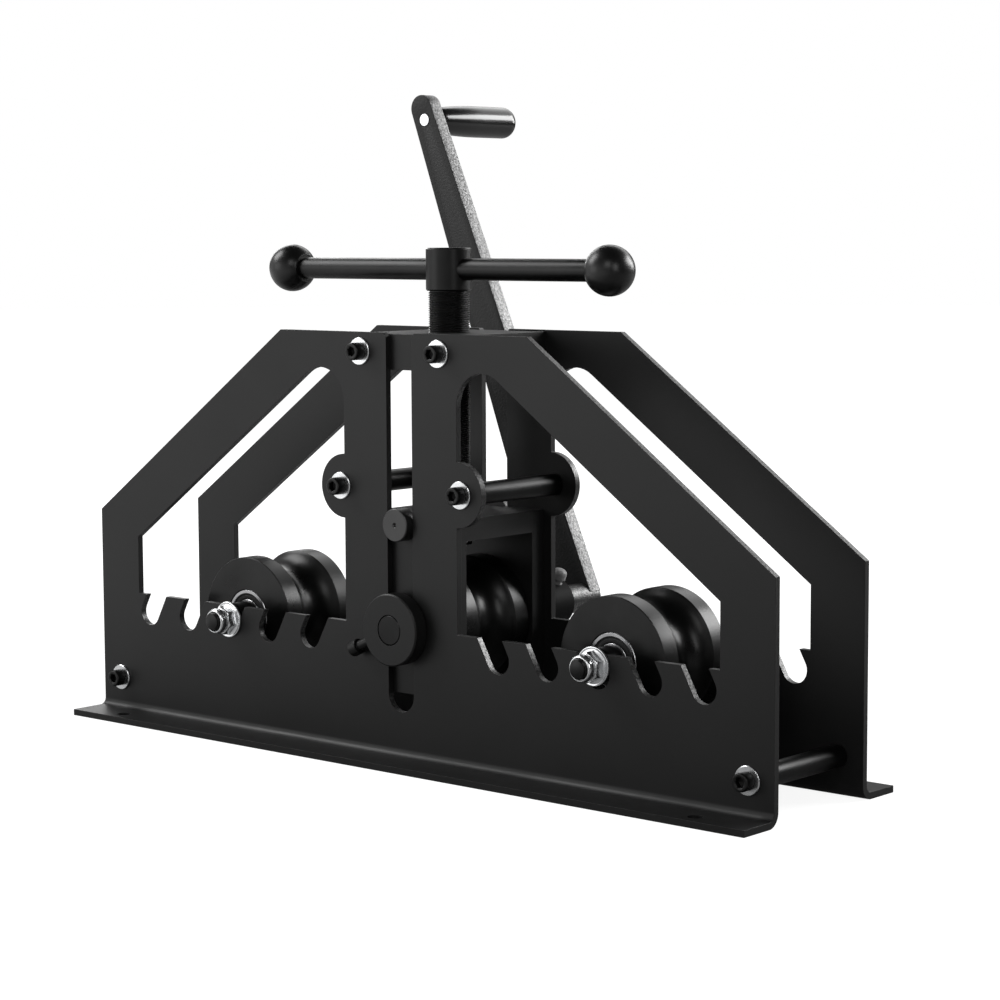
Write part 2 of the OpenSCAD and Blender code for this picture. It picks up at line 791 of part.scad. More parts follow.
// Ball knob with a flat face towards the bar; side is -1 for left, 1 for right
module ball(side) {
    ball_x = side * bar_span / 2 - bar_shift;
    color(plastic) translate([ball_x, 0, bar_z]) rotate([0, -side * 90, 0]) difference() {
        sphere(d = ball_d);
        translate([0, 0, ball_flat + ball_r]) cube(ball_d, center = true);
        translate([0, 0, ball_flat - ball_spigot_l - run])
            cylinder(d = ball_spigot_d + 2 * fit, h = ball_spigot_l + run + cut);
    }
}
module left_ball() { ball(-1); }
module right_ball() { ball(1); }

// Keyway along the top of the spindle, for the shaft or for the bore of the die
module key_block(clear) {
    translate([0, 0, spindle_d / 2])
        cube([key_w + 2 * clear, key_l + 2 * clear, key_h + 2 * clear], center = true);
}

// Spindle from the front collar to the middle of the crank hub
module spindle() {
    color(steel) on_spindle() difference() {
        turned(spindle_d, -collar_out_y, joint_y, rim_chamfer);
        key_block(fit);
    }
}
module die_key() { color(steel) on_spindle() key_block(0); }

// Middle die, keyed to the spindle
module centre_die() {
    color(oxide) on_spindle() difference() {
        die_blank();
        rod(spindle_d + 2 * fit, -die_w / 2 - cut, die_w / 2 + cut);
        translate([0, 0, spindle_d / 2])
            cube([key_w + 2 * fit, die_w + 2 * cut, key_h + 2 * fit], center = true);
    }
}

// Spacers between the middle die and the inner rings
module die_spacers() {
    color(steel) on_spindle() front_and_rear()
        ring(spindle_ring_d, spindle_d + 2 * fit, -cheek_y, -die_w / 2);
}

// Hole or body of a radial screw, from the shaft out to reach, at a place along Y
module radial_screw(d, y, angle, reach) {
    screw_start = spindle_d / 2 + fit;
    rotate([0, angle, 0]) translate([0, y, screw_start]) cylinder(d = d, h = reach - screw_start);
}

module shaft_collar(side) {
    y = side * collar_mid;
    color(coat) on_spindle() difference() {
        turned(collar_d, y - collar_t / 2, y + collar_t / 2, rim_chamfer);
        rod(spindle_d + 2 * fit, y - collar_t, y + collar_t);
        radial_screw(clamp_d + 2 * fit, y, -collar_screw_lean, collar_d);
    }
}
module front_collar() { shaft_collar(-1); }
module rear_collar() { shaft_collar(1); }

// Clamp screws of the two collars, each with a hexagon in its end
module clamp_screw(y, angle, reach) {
    difference() {
        radial_screw(clamp_d, y, angle, reach);
        rotate([0, angle, 0]) translate([0, y, reach - socket_l])
            cylinder(d = clamp_d / 2 * hex_share, h = socket_l + cut, $fn = 6);
    }
}
module collar_screws() {
    color(oxide) on_spindle() for (s = [-1, 1])
        clamp_screw(s * collar_mid, -collar_screw_lean, collar_screw_reach);
}

// Crank hub that couples the spindle and the stub of the crank
module crank_hub() {
    color(coat) on_spindle() difference() {
        turned(hub_d, hub_y, hub_end, rim_chamfer);
        rod(spindle_d + 2 * fit, hub_y - cut, hub_end + cut);
        for (y = hub_screw_y) radial_screw(clamp_d + 2 * fit, y, hub_screw_lean, hub_d);
    }
}
module hub_screws() {
    color(zinc) on_spindle() for (y = hub_screw_y) clamp_screw(y, hub_screw_lean, hub_screw_reach);
}
module crank_stub() { color(steel) on_spindle() turned(spindle_d, joint_y + run, arm_end); }

// Places children in the frame of the crank, whose arm runs up its own Z axis
module in_crank() { on_spindle() rotate([0, -crank_lean, 0]) children(); }

// Flat arm with a round end, cut out for the stub and bored for the grip pin
module crank_arm() {
    color(coat) in_crank() difference() {
        union() {
            translate([-arm_w / 2, arm_y, arm_start]) cube([arm_w, arm_t, arm_l - arm_start]);
            translate([0, 0, arm_l]) rod(arm_w, arm_y, arm_end);
        }
        rod(spindle_d, arm_y - cut, arm_end + cut);
        translate([0, 0, crank_r]) rod(pin_d + 2 * fit, arm_y - cut, arm_end + cut);
    }
}

// Pin riveted through the arm, blind in the grip
module grip_pin() {
    color(zinc) in_crank() translate([0, 0, crank_r]) rod(pin_d, arm_y - pin_proud, pin_end);
}

// Grip: a taper from the neck, a straight part and a rounded end
module crank_grip() {
    color(plastic) in_crank() translate([0, grip_y, crank_r]) rotate([-90, 0, 0]) rotate_extrude() {
        difference() {
            union() {
                polygon([[0, 0], [grip_neck_d / 2, 0], [grip_d / 2, grip_l * taper_share],
                    [grip_d / 2, grip_l - round_r], [0, grip_l - round_r]]);
                intersection() {
                    translate([grip_d / 2 - round_r, grip_l - round_r]) circle(r = round_r);
                    square([grip_d, grip_l]);
                }
                translate([0, grip_l - 2 * round_r]) square([grip_d / 2 - round_r, 2 * round_r]);
            }
            square([pin_d / 2 + 2 * fit, pin_end - grip_y + run]);
        }
    }
}

front_plate();
rear_plate();
nut_block();
ear_tie_left();
ear_tie_right();
foot_tie_left();
foot_tie_right();
front_screws();
rear_screws();
front_washers();
rear_washers();
left_axle();
right_axle();
left_axle_nuts();
right_axle_nuts();
left_spacers();
right_spacers();
left_inner_rings();
right_inner_rings();
left_die();
right_die();
left_outer_rings();
right_outer_rings();
left_seals();
right_seals();
yoke_bridge();
front_cheek();
rear_cheek();
front_guide();
rear_guide();
cheek_screws();
spindle_outer_rings();
thrust_washer();
jackscrew();
screw_head();
screw_collar();
collar_pin();
tommy_bar();
left_ball();
right_ball();
spindle();
centre_die();
die_key();
spindle_inner_rings();
die_spacers();
front_collar();
rear_collar();
collar_screws();
crank_hub();
hub_screws();
crank_stub();
crank_arm();
grip_pin();
crank_grip();
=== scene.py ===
# %% [markdown]
# # Dressing a hand-cranked ring roller
# The imported model brings every rigid piece of the machine in its real size and place.
# This lesson gives those pieces their finishes, adds what a solid model leaves out, such as
# threads, nuts with rounded corners and knurled screw heads, and sets up a camera and studio
# to photograph the result.
# All lengths are in metres, so millimetres are written times MM.

# %% Load the frame
import json
import math
import bmesh
import bpy
from mathutils import Matrix, Vector


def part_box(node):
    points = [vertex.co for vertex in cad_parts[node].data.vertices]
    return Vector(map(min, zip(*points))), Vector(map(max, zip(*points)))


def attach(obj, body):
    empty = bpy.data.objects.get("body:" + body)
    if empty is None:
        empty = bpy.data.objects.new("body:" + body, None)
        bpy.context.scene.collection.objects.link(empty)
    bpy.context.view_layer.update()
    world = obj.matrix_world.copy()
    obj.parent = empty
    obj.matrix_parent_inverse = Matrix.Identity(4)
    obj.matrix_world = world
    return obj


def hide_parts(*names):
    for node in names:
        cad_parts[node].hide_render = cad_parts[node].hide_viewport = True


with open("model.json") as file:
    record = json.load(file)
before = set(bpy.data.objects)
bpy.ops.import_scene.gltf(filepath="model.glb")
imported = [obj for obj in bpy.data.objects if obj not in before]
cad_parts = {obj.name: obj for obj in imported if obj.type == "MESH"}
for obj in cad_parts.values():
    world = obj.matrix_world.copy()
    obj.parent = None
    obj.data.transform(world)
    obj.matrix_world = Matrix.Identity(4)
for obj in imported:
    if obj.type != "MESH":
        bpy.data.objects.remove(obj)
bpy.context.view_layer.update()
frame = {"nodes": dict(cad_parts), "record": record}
MM = 0.001
nodes = frame["nodes"]

# %% [markdown]
# ## The camera
# The photograph was taken from in front, to the right and a little above. The place and turn
# of the camera came from lining up the plate corners, screws and slots of the real machine
# with the model. The picture is square, 1000 by 1000, and taken with a long lens, which
# keeps the plates nearly parallel.

# %% Place the camera
CAMERA_PLACE = Vector((1.58838, -1.75672, 0.48161))
CAMERA_TURN = math.radians(41.0126)
CAMERA_DIP = math.radians(5.9678)
CAMERA_ROLL = math.radians(-0.261)
LENS_PER_WIDTH = 2586.95 / 1000
SENSOR_WIDTH = 36

camera_data = bpy.data.cameras.new("camera")
camera = bpy.data.objects.new("camera", camera_data)
bpy.context.scene.collection.objects.link(camera)
camera_data.sensor_width = SENSOR_WIDTH
camera_data.lens = SENSOR_WIDTH * LENS_PER_WIDTH
camera_data.clip_start = 0.1
camera_data.clip_end = 50
forward = Vector((-math.sin(CAMERA_TURN) * math.cos(CAMERA_DIP),
                  math.cos(CAMERA_TURN) * math.cos(CAMERA_DIP),
                  -math.sin(CAMERA_DIP)))
level = Vector((math.cos(CAMERA_TURN), math.sin(CAMERA_TURN), 0))
upward = level.cross(forward)
right = level * math.cos(CAMERA_ROLL) + upward * math.sin(CAMERA_ROLL)
up = upward * math.cos(CAMERA_ROLL) - level * math.sin(CAMERA_ROLL)
camera.matrix_world = Matrix((
    (right.x, up.x, -forward.x, CAMERA_PLACE.x),
    (right.y, up.y, -forward.y, CAMERA_PLACE.y),
    (right.z, up.z, -forward.z, CAMERA_PLACE.z),
    (0, 0, 0, 1)))
bpy.context.scene.camera = camera
print("lens:", round(camera_data.lens, 2), "mm")

# %% [markdown]
# ## Finishes
# Each finish is a small node tree on the piece's own Object coordinates. A finish is a base
# shader, a slow cloudy change of colour and roughness, and a fine bump. A Bevel node rounds
# the light on every edge by a fraction of a millimetre, as a deburred and coated edge does,
# without a change of the shape.

# %% Helpers for finishes
SHARP_EDGE = math.radians(32)


def grey(value):
    """A grey as red, green and blue."""
    return value, value, value


def math_node(tree, operation, *values):
    """A Math node whose inputs are sockets or plain numbers."""
    node = tree.nodes.new("ShaderNodeMath")
    node.operation = operation
    for socket, value in zip(node.inputs, values):
        if isinstance(value, (int, float)):
            socket.default_value = value
        else:
            tree.links.new(value, socket)
    return node.outputs[0]


def vector_node(tree, operation, value, other=None):
    """A Vector Math node of a socket and, where the operation needs it, a fixed vector."""
    node = tree.nodes.new("ShaderNodeVectorMath")
    node.operation = operation
    tree.links.new(value, node.inputs[0])
    if other is not None:
        node.inputs[1].default_value = other
    return node


def start_finish(name, edge=0.4 * MM, gloss=0.5):
    """A material whose light rounds every edge by the given radius in metres."""
    material = bpy.data.materials.new(name)
    material.use_nodes = True
    tree = material.node_tree
    shader = tree.nodes["Principled BSDF"]
    shader.inputs["Specular IOR Level"].default_value = gloss
    place = tree.nodes.new("ShaderNodeTexCoord").outputs["Object"]
    bevel = tree.nodes.new("ShaderNodeBevel")
    bevel.samples = 6
    bevel.inputs["Radius"].default_value = edge
    tree.links.new(bevel.outputs["Normal"], shader.inputs["Normal"])
    return material, tree, shader, place, bevel


def noise(tree, place, scale, detail=3.0):
    """A noise in 3D, with scale in patches per metre."""
    texture = tree.nodes.new("ShaderNodeTexNoise")
    texture.inputs["Scale"].default_value = scale
    texture.inputs["Detail"].default_value = detail
    tree.links.new(place, texture.inputs["Vector"])
    return texture.outputs["Fac"]


def spread(tree, value, low, high):
    """Maps a noise value, mostly between 0.3 and 0.7, to the range from low to high."""
    node = tree.nodes.new("ShaderNodeMapRange")
    node.inputs["From Min"].default_value = 0.3
    node.inputs["From Max"].default_value = 0.7
    node.inputs["To Min"].default_value = low
    node.inputs["To Max"].default_value = high
    tree.links.new(value, node.inputs["Value"])
    return node.outputs["Result"]


def tint(tree, value, dark, light):
    """Mixes two greys or colours by a noise value."""
    mix = tree.nodes.new("ShaderNodeMix")
    mix.data_type = "RGBA"
    tree.links.new(spread(tree, value, 0, 1), mix.inputs["Factor"])
    mix.inputs["A"].default_value = (*dark, 1)
    mix.inputs["B"].default_value = (*light, 1)
    return mix.outputs["Result"]


def bump(tree, bevel, shader, value, height, strength=1.0):
    """Adds relief of the given height in metres on top of the rounded edges."""
    node = tree.nodes.new("ShaderNodeBump")
    node.inputs["Strength"].default_value = strength
    node.inputs["Distance"].default_value = height
    tree.links.new(value, node.inputs["Height"])
    tree.links.new(bevel.outputs["Normal"], node.inputs["Normal"])
    tree.links.new(node.outputs["Normal"], shader.inputs["Normal"])


# %% [markdown]
# The plates, the yoke and the collars are powder coated. Baked powder leaves a fine orange
# peel, about a millimetre across, and a satin gloss. It could be painted with an image, but a
# noise in 3D has no seams at the bent foot and needs no unwrapping. Faces whose normal slants
# in both X and Z, such as the sawn edges of the hook slots and the crank, get a painted
# highlight: a bright grainy grey with some metal. It is partly bare sawn steel and partly the
# light that falls on that side.

# %% Powder coat
def make_powder_coat(name, tone, rough, gloss, grain=900, peel=0.05 * MM, sawn_highlight=None):
    """The last argument is the grey and the share of metal of the painted highlight on faces that
    slant in X and Z: sawn edges, brighter on the side the light falls on.
    """
    material, tree, shader, place, bevel = start_finish(name, gloss=gloss)
    cloud = noise(tree, place, scale=9, detail=4)
    colour = tint(tree, cloud, grey(tone * 0.85), grey(tone * 1.15))
    if sawn_highlight:
        bare_and_lit_grey, metal = sawn_highlight
        split = tree.nodes.new("ShaderNodeSeparateXYZ")
        tree.links.new(tree.nodes.new("ShaderNodeTexCoord").outputs["Normal"], split.inputs[0])
        # Painted highlight: faces that slant in both X and Z, on the side the lamps fall on, get a
        # bright grainy grey and some metal over the look of sawn steel.
        slant = math_node(tree, "MULTIPLY", split.outputs["X"], split.outputs["Z"])
        sawn_and_lit_share = math_node(tree, "MULTIPLY", math_node(tree, "ABSOLUTE", slant), 2.4)
        sawn_and_lit_share.node.use_clamp = True
        tree.links.new(math_node(tree, "MULTIPLY", sawn_and_lit_share, metal), shader.inputs["Metallic"])
        speckle = noise(tree, place, scale=520, detail=2)
        mix = tree.nodes.new("ShaderNodeMix")
        mix.data_type = "RGBA"
        tree.links.new(sawn_and_lit_share, mix.inputs["Factor"])
        tree.links.new(colour, mix.inputs["A"])
        tree.links.new(tint(tree, speckle, grey(bare_and_lit_grey * 0.35), grey(bare_and_lit_grey * 1.7)), mix.inputs["B"])
        colour = mix.outputs["Result"]
    tree.links.new(colour, shader.inputs["Base Color"])
    tree.links.new(spread(tree, cloud, rough - 0.04, rough + 0.05), shader.inputs["Roughness"])
    bump(tree, bevel, shader, noise(tree, place, grain, detail=2), peel, strength=0.55)
    return material


powder_coat = make_powder_coat("powder coat", tone=0.0085, rough=0.44, gloss=0.27)
plate_coat = make_powder_coat("powder coat of the plates", tone=0.0085, rough=0.44, gloss=0.27,
                              sawn_highlight=(0.09, 0.75))
rough_coat = make_powder_coat("powder coat of the crank", tone=0.0085, rough=0.46, gloss=0.27,
                              grain=420, peel=0.8 * MM, sawn_highlight=(0.12, 0.9))
# Painted shade: the hub's coat is darker and duller than the others, standing for the shade the
# hub lies in.
painted_shade_hub_coat = make_powder_coat("dull coat with painted shade of the crank hub", tone=0.003, rough=0.6, gloss=0.06)
# Painted highlight: the domed hub screws are coated light grey, standing for the light on their
# black heads.
painted_highlight_coat = make_powder_coat("grey coat with painted highlight of the hub screws", tone=0.2, rough=0.5, gloss=0.3,
                             grain=420, peel=0.8 * MM)
print("coats:", powder_coat.name, "and", rough_coat.name)

# %% [markdown]
# Screws, the jackscrew, the T-bar and the dies are turned steel, blackened in a hot oxide
# bath and oiled. The black layer is thin, so the metal's own gloss shows through it, and
# turned faces keep the rings of the lathe tool.

# %% Blackened steel
def make_black_steel(name, tone, rough, rings=None):
    """rings is the centre of the lathe rings, for a piece that turns about the Y direction."""
    material, tree, shader, place, bevel = start_finish(name, edge=0.35 * MM)
    shader.inputs["Metallic"].default_value = 0.9
    cloud = noise(tree, place, scale=22, detail=4)
    colour = tint(tree, cloud, grey(tone * 0.8), grey(tone * 1.2))
    tree.links.new(colour, shader.inputs["Base Color"])
    tree.links.new(spread(tree, cloud, rough - 0.05, rough + 0.07), shader.inputs["Roughness"])
    if rings is None:
        grain = noise(tree, place, scale=1400, detail=2)
        bump(tree, bevel, shader, grain, 0.02 * MM, strength=0.4)
        return material
    centred = vector_node(tree, "SUBTRACT", place, rings).outputs["Vector"]
    flat = vector_node(tree, "MULTIPLY", centred, (1, 0, 1)).outputs["Vector"]
    reach = vector_node(tree, "LENGTH", flat).outputs["Value"]
    split = tree.nodes.new("ShaderNodeSeparateXYZ")
    tree.links.new(centred, split.inputs[0])
    join = tree.nodes.new("ShaderNodeCombineXYZ")
    tree.links.new(reach, join.inputs["X"])
    tree.links.new(split.outputs["Y"], join.inputs["Y"])
    grooves = noise(tree, join.outputs["Vector"], scale=1700, detail=2)
    bump(tree, bevel, shader, grooves, 0.03 * MM, strength=0.5)
    return material


black_steel = make_black_steel("black oxide", tone=0.022, rough=0.34)
print("black steel:", black_steel.name)

# %% [markdown]
# Nuts, washers and the end of the crank's pin are zinc plated. Bearing rings are ground
# steel. Both are metals, so their colour, roughness and a faint mottling tell them apart.

# %% Bright metals
def make_bright_metal(name, colour, rough, mottle=40):
    material, tree, shader, place, bevel = start_finish(name, edge=0.25 * MM)
    shader.inputs["Metallic"].default_value = 1.0
    cloud = noise(tree, place, mottle, detail=4)
    dark = [c * 0.82 for c in colour]
    tree.links.new(tint(tree, cloud, dark, colour), shader.inputs["Base Color"])
    tree.links.new(spread(tree, cloud, rough - 0.05, rough + 0.08), shader.inputs["Roughness"])
    grain = noise(tree, place, scale=900, detail=2)
    bump(tree, bevel, shader, grain, 0.015 * MM, strength=0.4)
    return material


zinc = make_bright_metal("bright zinc", (0.78, 0.79, 0.8), rough=0.24, mottle=70)
steel = make_bright_metal("ground steel", (0.42, 0.42, 0.43), rough=0.24, mottle=60)
bronze = make_bright_metal("turned bronze", (0.56, 0.36, 0.15), rough=0.34)
print("metals:", zinc.name, steel.name, bronze.name)

# %% [markdown]
# The balls of the T-bar and the crank's grip are moulded phenolic, black and glossy. The
# bearing seals are matt rubber.

# %% Plastic and rubber
def make_moulded(name, tone, rough, gloss, ripple=260):
    material, tree, shader, place, bevel = start_finish(name, gloss=gloss)
    cloud = noise(tree, place, scale=14)
    colour = tint(tree, cloud, grey(tone * 0.8), grey(tone * 1.2))
    tree.links.new(colour, shader.inputs["Base Color"])
    tree.links.new(spread(tree, cloud, rough - 0.02, rough + 0.05), shader.inputs["Roughness"])
    bump(tree, bevel, shader, noise(tree, place, ripple, detail=1), 0.01 * MM, strength=0.5)
    return material


phenolic = make_moulded("black phenolic", tone=0.004, rough=0.3, gloss=0.36)
grip_plastic = make_moulded("polished phenolic of the grip", tone=0.004, rough=0.16, gloss=0.5)
rubber = make_moulded("seal rubber", tone=0.009, rough=0.6, gloss=0.3, ripple=700)
print("moulded:", phenolic.name, grip_plastic.name, rubber.name)

# %% [markdown]
# Every solid of the model gets the finish of its material slot. The dies have rings of their
# own, each about its own axle. The plates have a painted highlight on their sawn edges that
# slant in X and Z, and the ties get a darker black as painted shade.

# %% Give each solid its finish
def centre_of(node):
    """Centre of the box of a solid, in metres."""
    low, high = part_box(node)
    return (low + high) / 2


by_slot = {"black_coat": powder_coat, "black_oxide": black_steel, "bright_zinc": zinc,
           "bright_steel": steel, "bronze": bronze, "seal_rubber": rubber,
           "black_plastic": phenolic}
finish_of = {part["node"]: by_slot[part["material_slot"]] for part in frame["record"]["subparts"]}
for die in ("left_die", "right_die", "centre_die"):
    finish_of[die] = make_black_steel("black oxide of the " + die.replace("_", " "),
                                      tone=0.024, rough=0.3, rings=centre_of(die))
for node in ("front_plate", "rear_plate"):
    finish_of[node] = plate_coat
# Painted shade: the ties get a darker, slightly rougher copy of the black oxide, standing for less
# light on them.
shaded_tie_steel = make_black_steel("black oxide with painted shade of the ties", tone=0.01, rough=0.38)
for node in ("ear_tie_left", "ear_tie_right", "foot_tie_left", "foot_tie_right"):
    finish_of[node] = shaded_tie_steel
for node, obj in nodes.items():
    obj.data.materials.clear()
    obj.data.materials.append(finish_of[node])
print("solids with a finish:", len(finish_of))

# %% [markdown]
# ## Turned pieces
# Screws, nuts, washers and bearing rings are all turned on a lathe, and some then get a
# hexagon or a knurl. So one helper turns an outline of radius and height about the Z
# direction. A radius may also be a rule that gives another radius at each angle, which is
# how one outline makes a hexagon that fades into a round flange.

# %% A lathe
def lathe(name, rings, closed=False, steps=96):
    """rings lists radius and height in mm, from the inner end to the outer one. A radius of 0
    is on the axis, and closed joins the last ring to the first."""
    builder = bmesh.new()
    loops = []
    for radius, height in rings:
        if radius == 0:
            loops.append([builder.verts.new((0, 0, height * MM))])
            continue
        loop = []
        for step in range(steps):
            angle = 2 * math.pi * step / steps
            reach = (radius(angle) if callable(radius) else radius) * MM
            x, y = reach * math.cos(angle), reach * math.sin(angle)
            loop.append(builder.verts.new((x, y, height * MM)))
        loops.append(loop)
    for low, high in zip(loops, loops[1:] + (loops[:1] if closed else [])):
        for step in range(steps):
            after = (step + 1) % steps
            corners = [low[step % len(low)], low[after % len(low)],
                       high[after % len(high)], high[step % len(high)]]
            builder.faces.new(list(dict.fromkeys(corners)))
    bmesh.ops.recalc_face_normals(builder, faces=builder.faces)
    mesh = bpy.data.meshes.new(name)
    builder.to_mesh(mesh)
    builder.free()
    mesh.shade_smooth()
    mesh.set_sharp_from_angle(angle=SHARP_EDGE)
    return add_piece(name, mesh)


def add_piece(name, mesh):
    """A new object in the scene, at the origin, that holds a mesh or a curve."""
    piece = bpy.data.objects.new(name, mesh)
    bpy.context.scene.collection.objects.link(piece)
    return piece


def lay(piece, place, turn, about):
    """Turns and moves the mesh of a piece, so that the piece itself stays at the origin."""
    piece.data.transform(Matrix.Translation(place) @ Matrix.Rotation(turn, 4, about))


def mirrored(outline):
    """The other half of an outline of radius and height, from its far end to the middle."""
    return [(radius, -height) for radius, height in outline[::-1]]


def hexagon(flat):
    """Radius of a hexagon by its angle, where flat is the distance from the axis to a side."""
    return lambda angle: flat / math.cos(angle % (math.pi / 3) - math.pi / 6)


def finish(piece, material, body, replaced=()):
    """Gives a piece its finish, its body and the solids that it stands for."""
    piece.data.materials.clear()
    piece.data.materials.append(material)
    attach(piece, body)
    if replaced:
        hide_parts(*replaced)
    print(piece.name, "has", len(piece.data.polygons), "faces")


# %% [markdown]
# ## Geometry Nodes that seat a piece on the machine
# The same screw sits at twelve places, six on each plate, and the nuts, bearings and guide
# buttons also come in facing pairs. So one tree puts a single turned piece on every point of
# a small cloud, and turns it to face backwards where the point lies behind the middle plane.
# A small random turn keeps the hexagons from standing in line, as no one tightens two screws
# to the same angle.

# %% Helpers for node trees
def new_tree(name, inputs):
    """A tree with named inputs, given as name, kind of socket and default value."""
    tree = bpy.data.node_groups.new(name, "GeometryNodeTree")
    tree.interface.new_socket("Geometry", in_out="INPUT", socket_type="NodeSocketGeometry")
    for label, kind, value in inputs:
        socket = tree.interface.new_socket(label, in_out="INPUT", socket_type="NodeSocket" + kind)
        if value is not None:
            socket.default_value = value
    tree.interface.new_socket("Geometry", in_out="OUTPUT", socket_type="NodeSocketGeometry")
    return tree, tree.nodes.new("NodeGroupInput"), tree.nodes.new("NodeGroupOutput")


def end_tree(tree, given, out, geometry):
    """Closes a tree with Realize Instances and Set Material."""
    realize = tree.nodes.new("GeometryNodeRealizeInstances")
    paint = tree.nodes.new("GeometryNodeSetMaterial")
    tree.links.new(geometry, realize.inputs["Geometry"])
    tree.links.new(realize.outputs["Geometry"], paint.inputs["Geometry"])
    tree.links.new(given.outputs["Material"], paint.inputs["Material"])
    tree.links.new(paint.outputs["Geometry"], out.inputs["Geometry"])


def grow(name, tree, settings, places=()):
    """Runs a tree once on a cloud of places, in mm, and keeps the result as one plain piece."""
    cloud = bpy.data.meshes.new(name + " places")
    cloud.from_pydata([Vector(place) * MM for place in places], [], [])
    maker = add_piece(name + " maker", cloud)
    modifier = maker.modifiers.new("tree", "NODES")
    modifier.node_group = tree
    for item in tree.interface.items_tree:
        if item.item_type == "SOCKET" and item.in_out == "INPUT" and item.name in settings:
            modifier[item.identifier] = settings[item.name]
    maker.update_tag()
    bpy.context.view_layer.update()
    made = maker.evaluated_get(bpy.context.evaluated_depsgraph_get())
    mesh = bpy.data.meshes.new_from_object(made)
    maker.modifiers.remove(modifier)
    bpy.data.objects.remove(maker)
    return add_piece(name, mesh)


# %% The seating tree
def make_seating_tree():
    """Puts a piece on every point, faces it outwards and gives it a random turn."""
    tree, given, out = new_tree("seat on both plates", [
        ("Piece", "Object", None), ("Random turn", "Float", 0.0), ("Seed", "Int", 7),
        ("Material", "Material", None)])
    piece = tree.nodes.new("GeometryNodeObjectInfo")
    place = tree.nodes.new("GeometryNodeInputPosition")
    split = tree.nodes.new("ShaderNodeSeparateXYZ")
    aim = tree.nodes.new("ShaderNodeCombineXYZ")
    seat = tree.nodes.new("GeometryNodeInstanceOnPoints")
    chance = tree.nodes.new("FunctionNodeRandomValue")
    spin = tree.nodes.new("ShaderNodeCombineXYZ")
    turn = tree.nodes.new("GeometryNodeRotateInstances")
    tree.links.new(given.outputs["Piece"], piece.inputs["Object"])
    tree.links.new(place.outputs["Position"], split.inputs[0])
    behind = math_node(tree, "GREATER_THAN", split.outputs["Y"], 0.0)
    tip = math_node(tree, "MULTIPLY_ADD", behind, -math.pi, math.pi / 2)
    tree.links.new(tip, aim.inputs["X"])
    tree.links.new(given.outputs["Geometry"], seat.inputs["Points"])
    tree.links.new(piece.outputs["Geometry"], seat.inputs["Instance"])
    tree.links.new(aim.outputs[0], seat.inputs["Rotation"])
    highest = [socket for socket in chance.inputs if socket.type == "VALUE"][1]
    drawn = [socket for socket in chance.outputs if socket.type == "VALUE"][0]
    tree.links.new(given.outputs["Random turn"], highest)
    tree.links.new(given.outputs["Seed"], chance.inputs["Seed"])
    tree.links.new(drawn, spin.inputs["Z"])
    tree.links.new(seat.outputs["Instances"], turn.inputs["Instances"])
    tree.links.new(spin.outputs[0], turn.inputs["Rotation"])
    end_tree(tree, given, out, turn.outputs["Instances"])
    return tree


seating = make_seating_tree()


def seat(name, master, places, material, turn=0.0):
    """One copy of a turned piece at each place, in mm, each turned by up to turn radians."""
    settings = {"Piece": master, "Random turn": turn, "Material": material}
    return grow(name, seating, settings, places)


# %% [markdown]
# ## Socket screws and washers
# The head of a socket screw is knurled so that fingers can turn it, and its hexagon ends in
# the shallow cone of a drill. Each screw lies on a wide stamped washer with soft edges. The
# outlines are pairs of radius and height in mm, with the outer face of the plate at 0.

# %% Screws and washers of the frame
OUTER_FACE = 68
SCREW_SPOTS = ((47.8, 372.5), (73.5, 248.5), (385, 36))
screw_places = [(side * x, face * OUTER_FACE, z)
                for face in (-1, 1) for side in (-1, 1) for x, z in SCREW_SPOTS]


def knurl(angle):
    """Radius of the knurled head: 48 ridges of 0.16 mm."""
    return 7.92 + 0.08 * math.cos(48 * angle)


SOCKET = [(5.2, 12), (hexagon(4.1), 11.4), (hexagon(4), 11), (hexagon(4), 6.4), (0, 5.4)]
frame_screw = lathe("frame screw", [
    (0, -31), (4.2, -31), (5, -30.2), (5, 2), (7.5, 2), (7.85, 2.4), (7.95, 3), (knurl, 3.4),
    (knurl, 10.6), (7.9, 11), (7.6, 11.6), (7.1, 11.95), (6.6, 12)] + SOCKET)
finish(seat("frame_screws", frame_screw, screw_places, black_steel, turn=1.0), black_steel,
       "frame", ("front_screws", "rear_screws"))
washer = lathe("washer", [
    (5.7, 0), (12.2, 0), (12.5, 0.3), (12.5, 1.5), (12, 2), (6, 2), (5.5, 1.6), (5.5, 0.3)],
    closed=True)
finish(seat("frame_washers", washer, screw_places, zinc), zinc,
       "frame", ("front_washers", "rear_washers"))

# %% [markdown]
# ## Threads
# A screw thread is one ridge wound round a core, so the tree sweeps a small trapezium along
# a spiral. Its foot and top are shares of the pitch, and it starts a little inside the core.
# The jackscrew has a fine thread of 2 mm. That is what lets a light pull on the T-bar press
# the middle die down hard, and it keeps the die where it is when one lets go.

# %% The thread tree
RIDGE_FOOT = 0.94
RIDGE_TOP = 0.16
RIDGE_SINK = 0.05


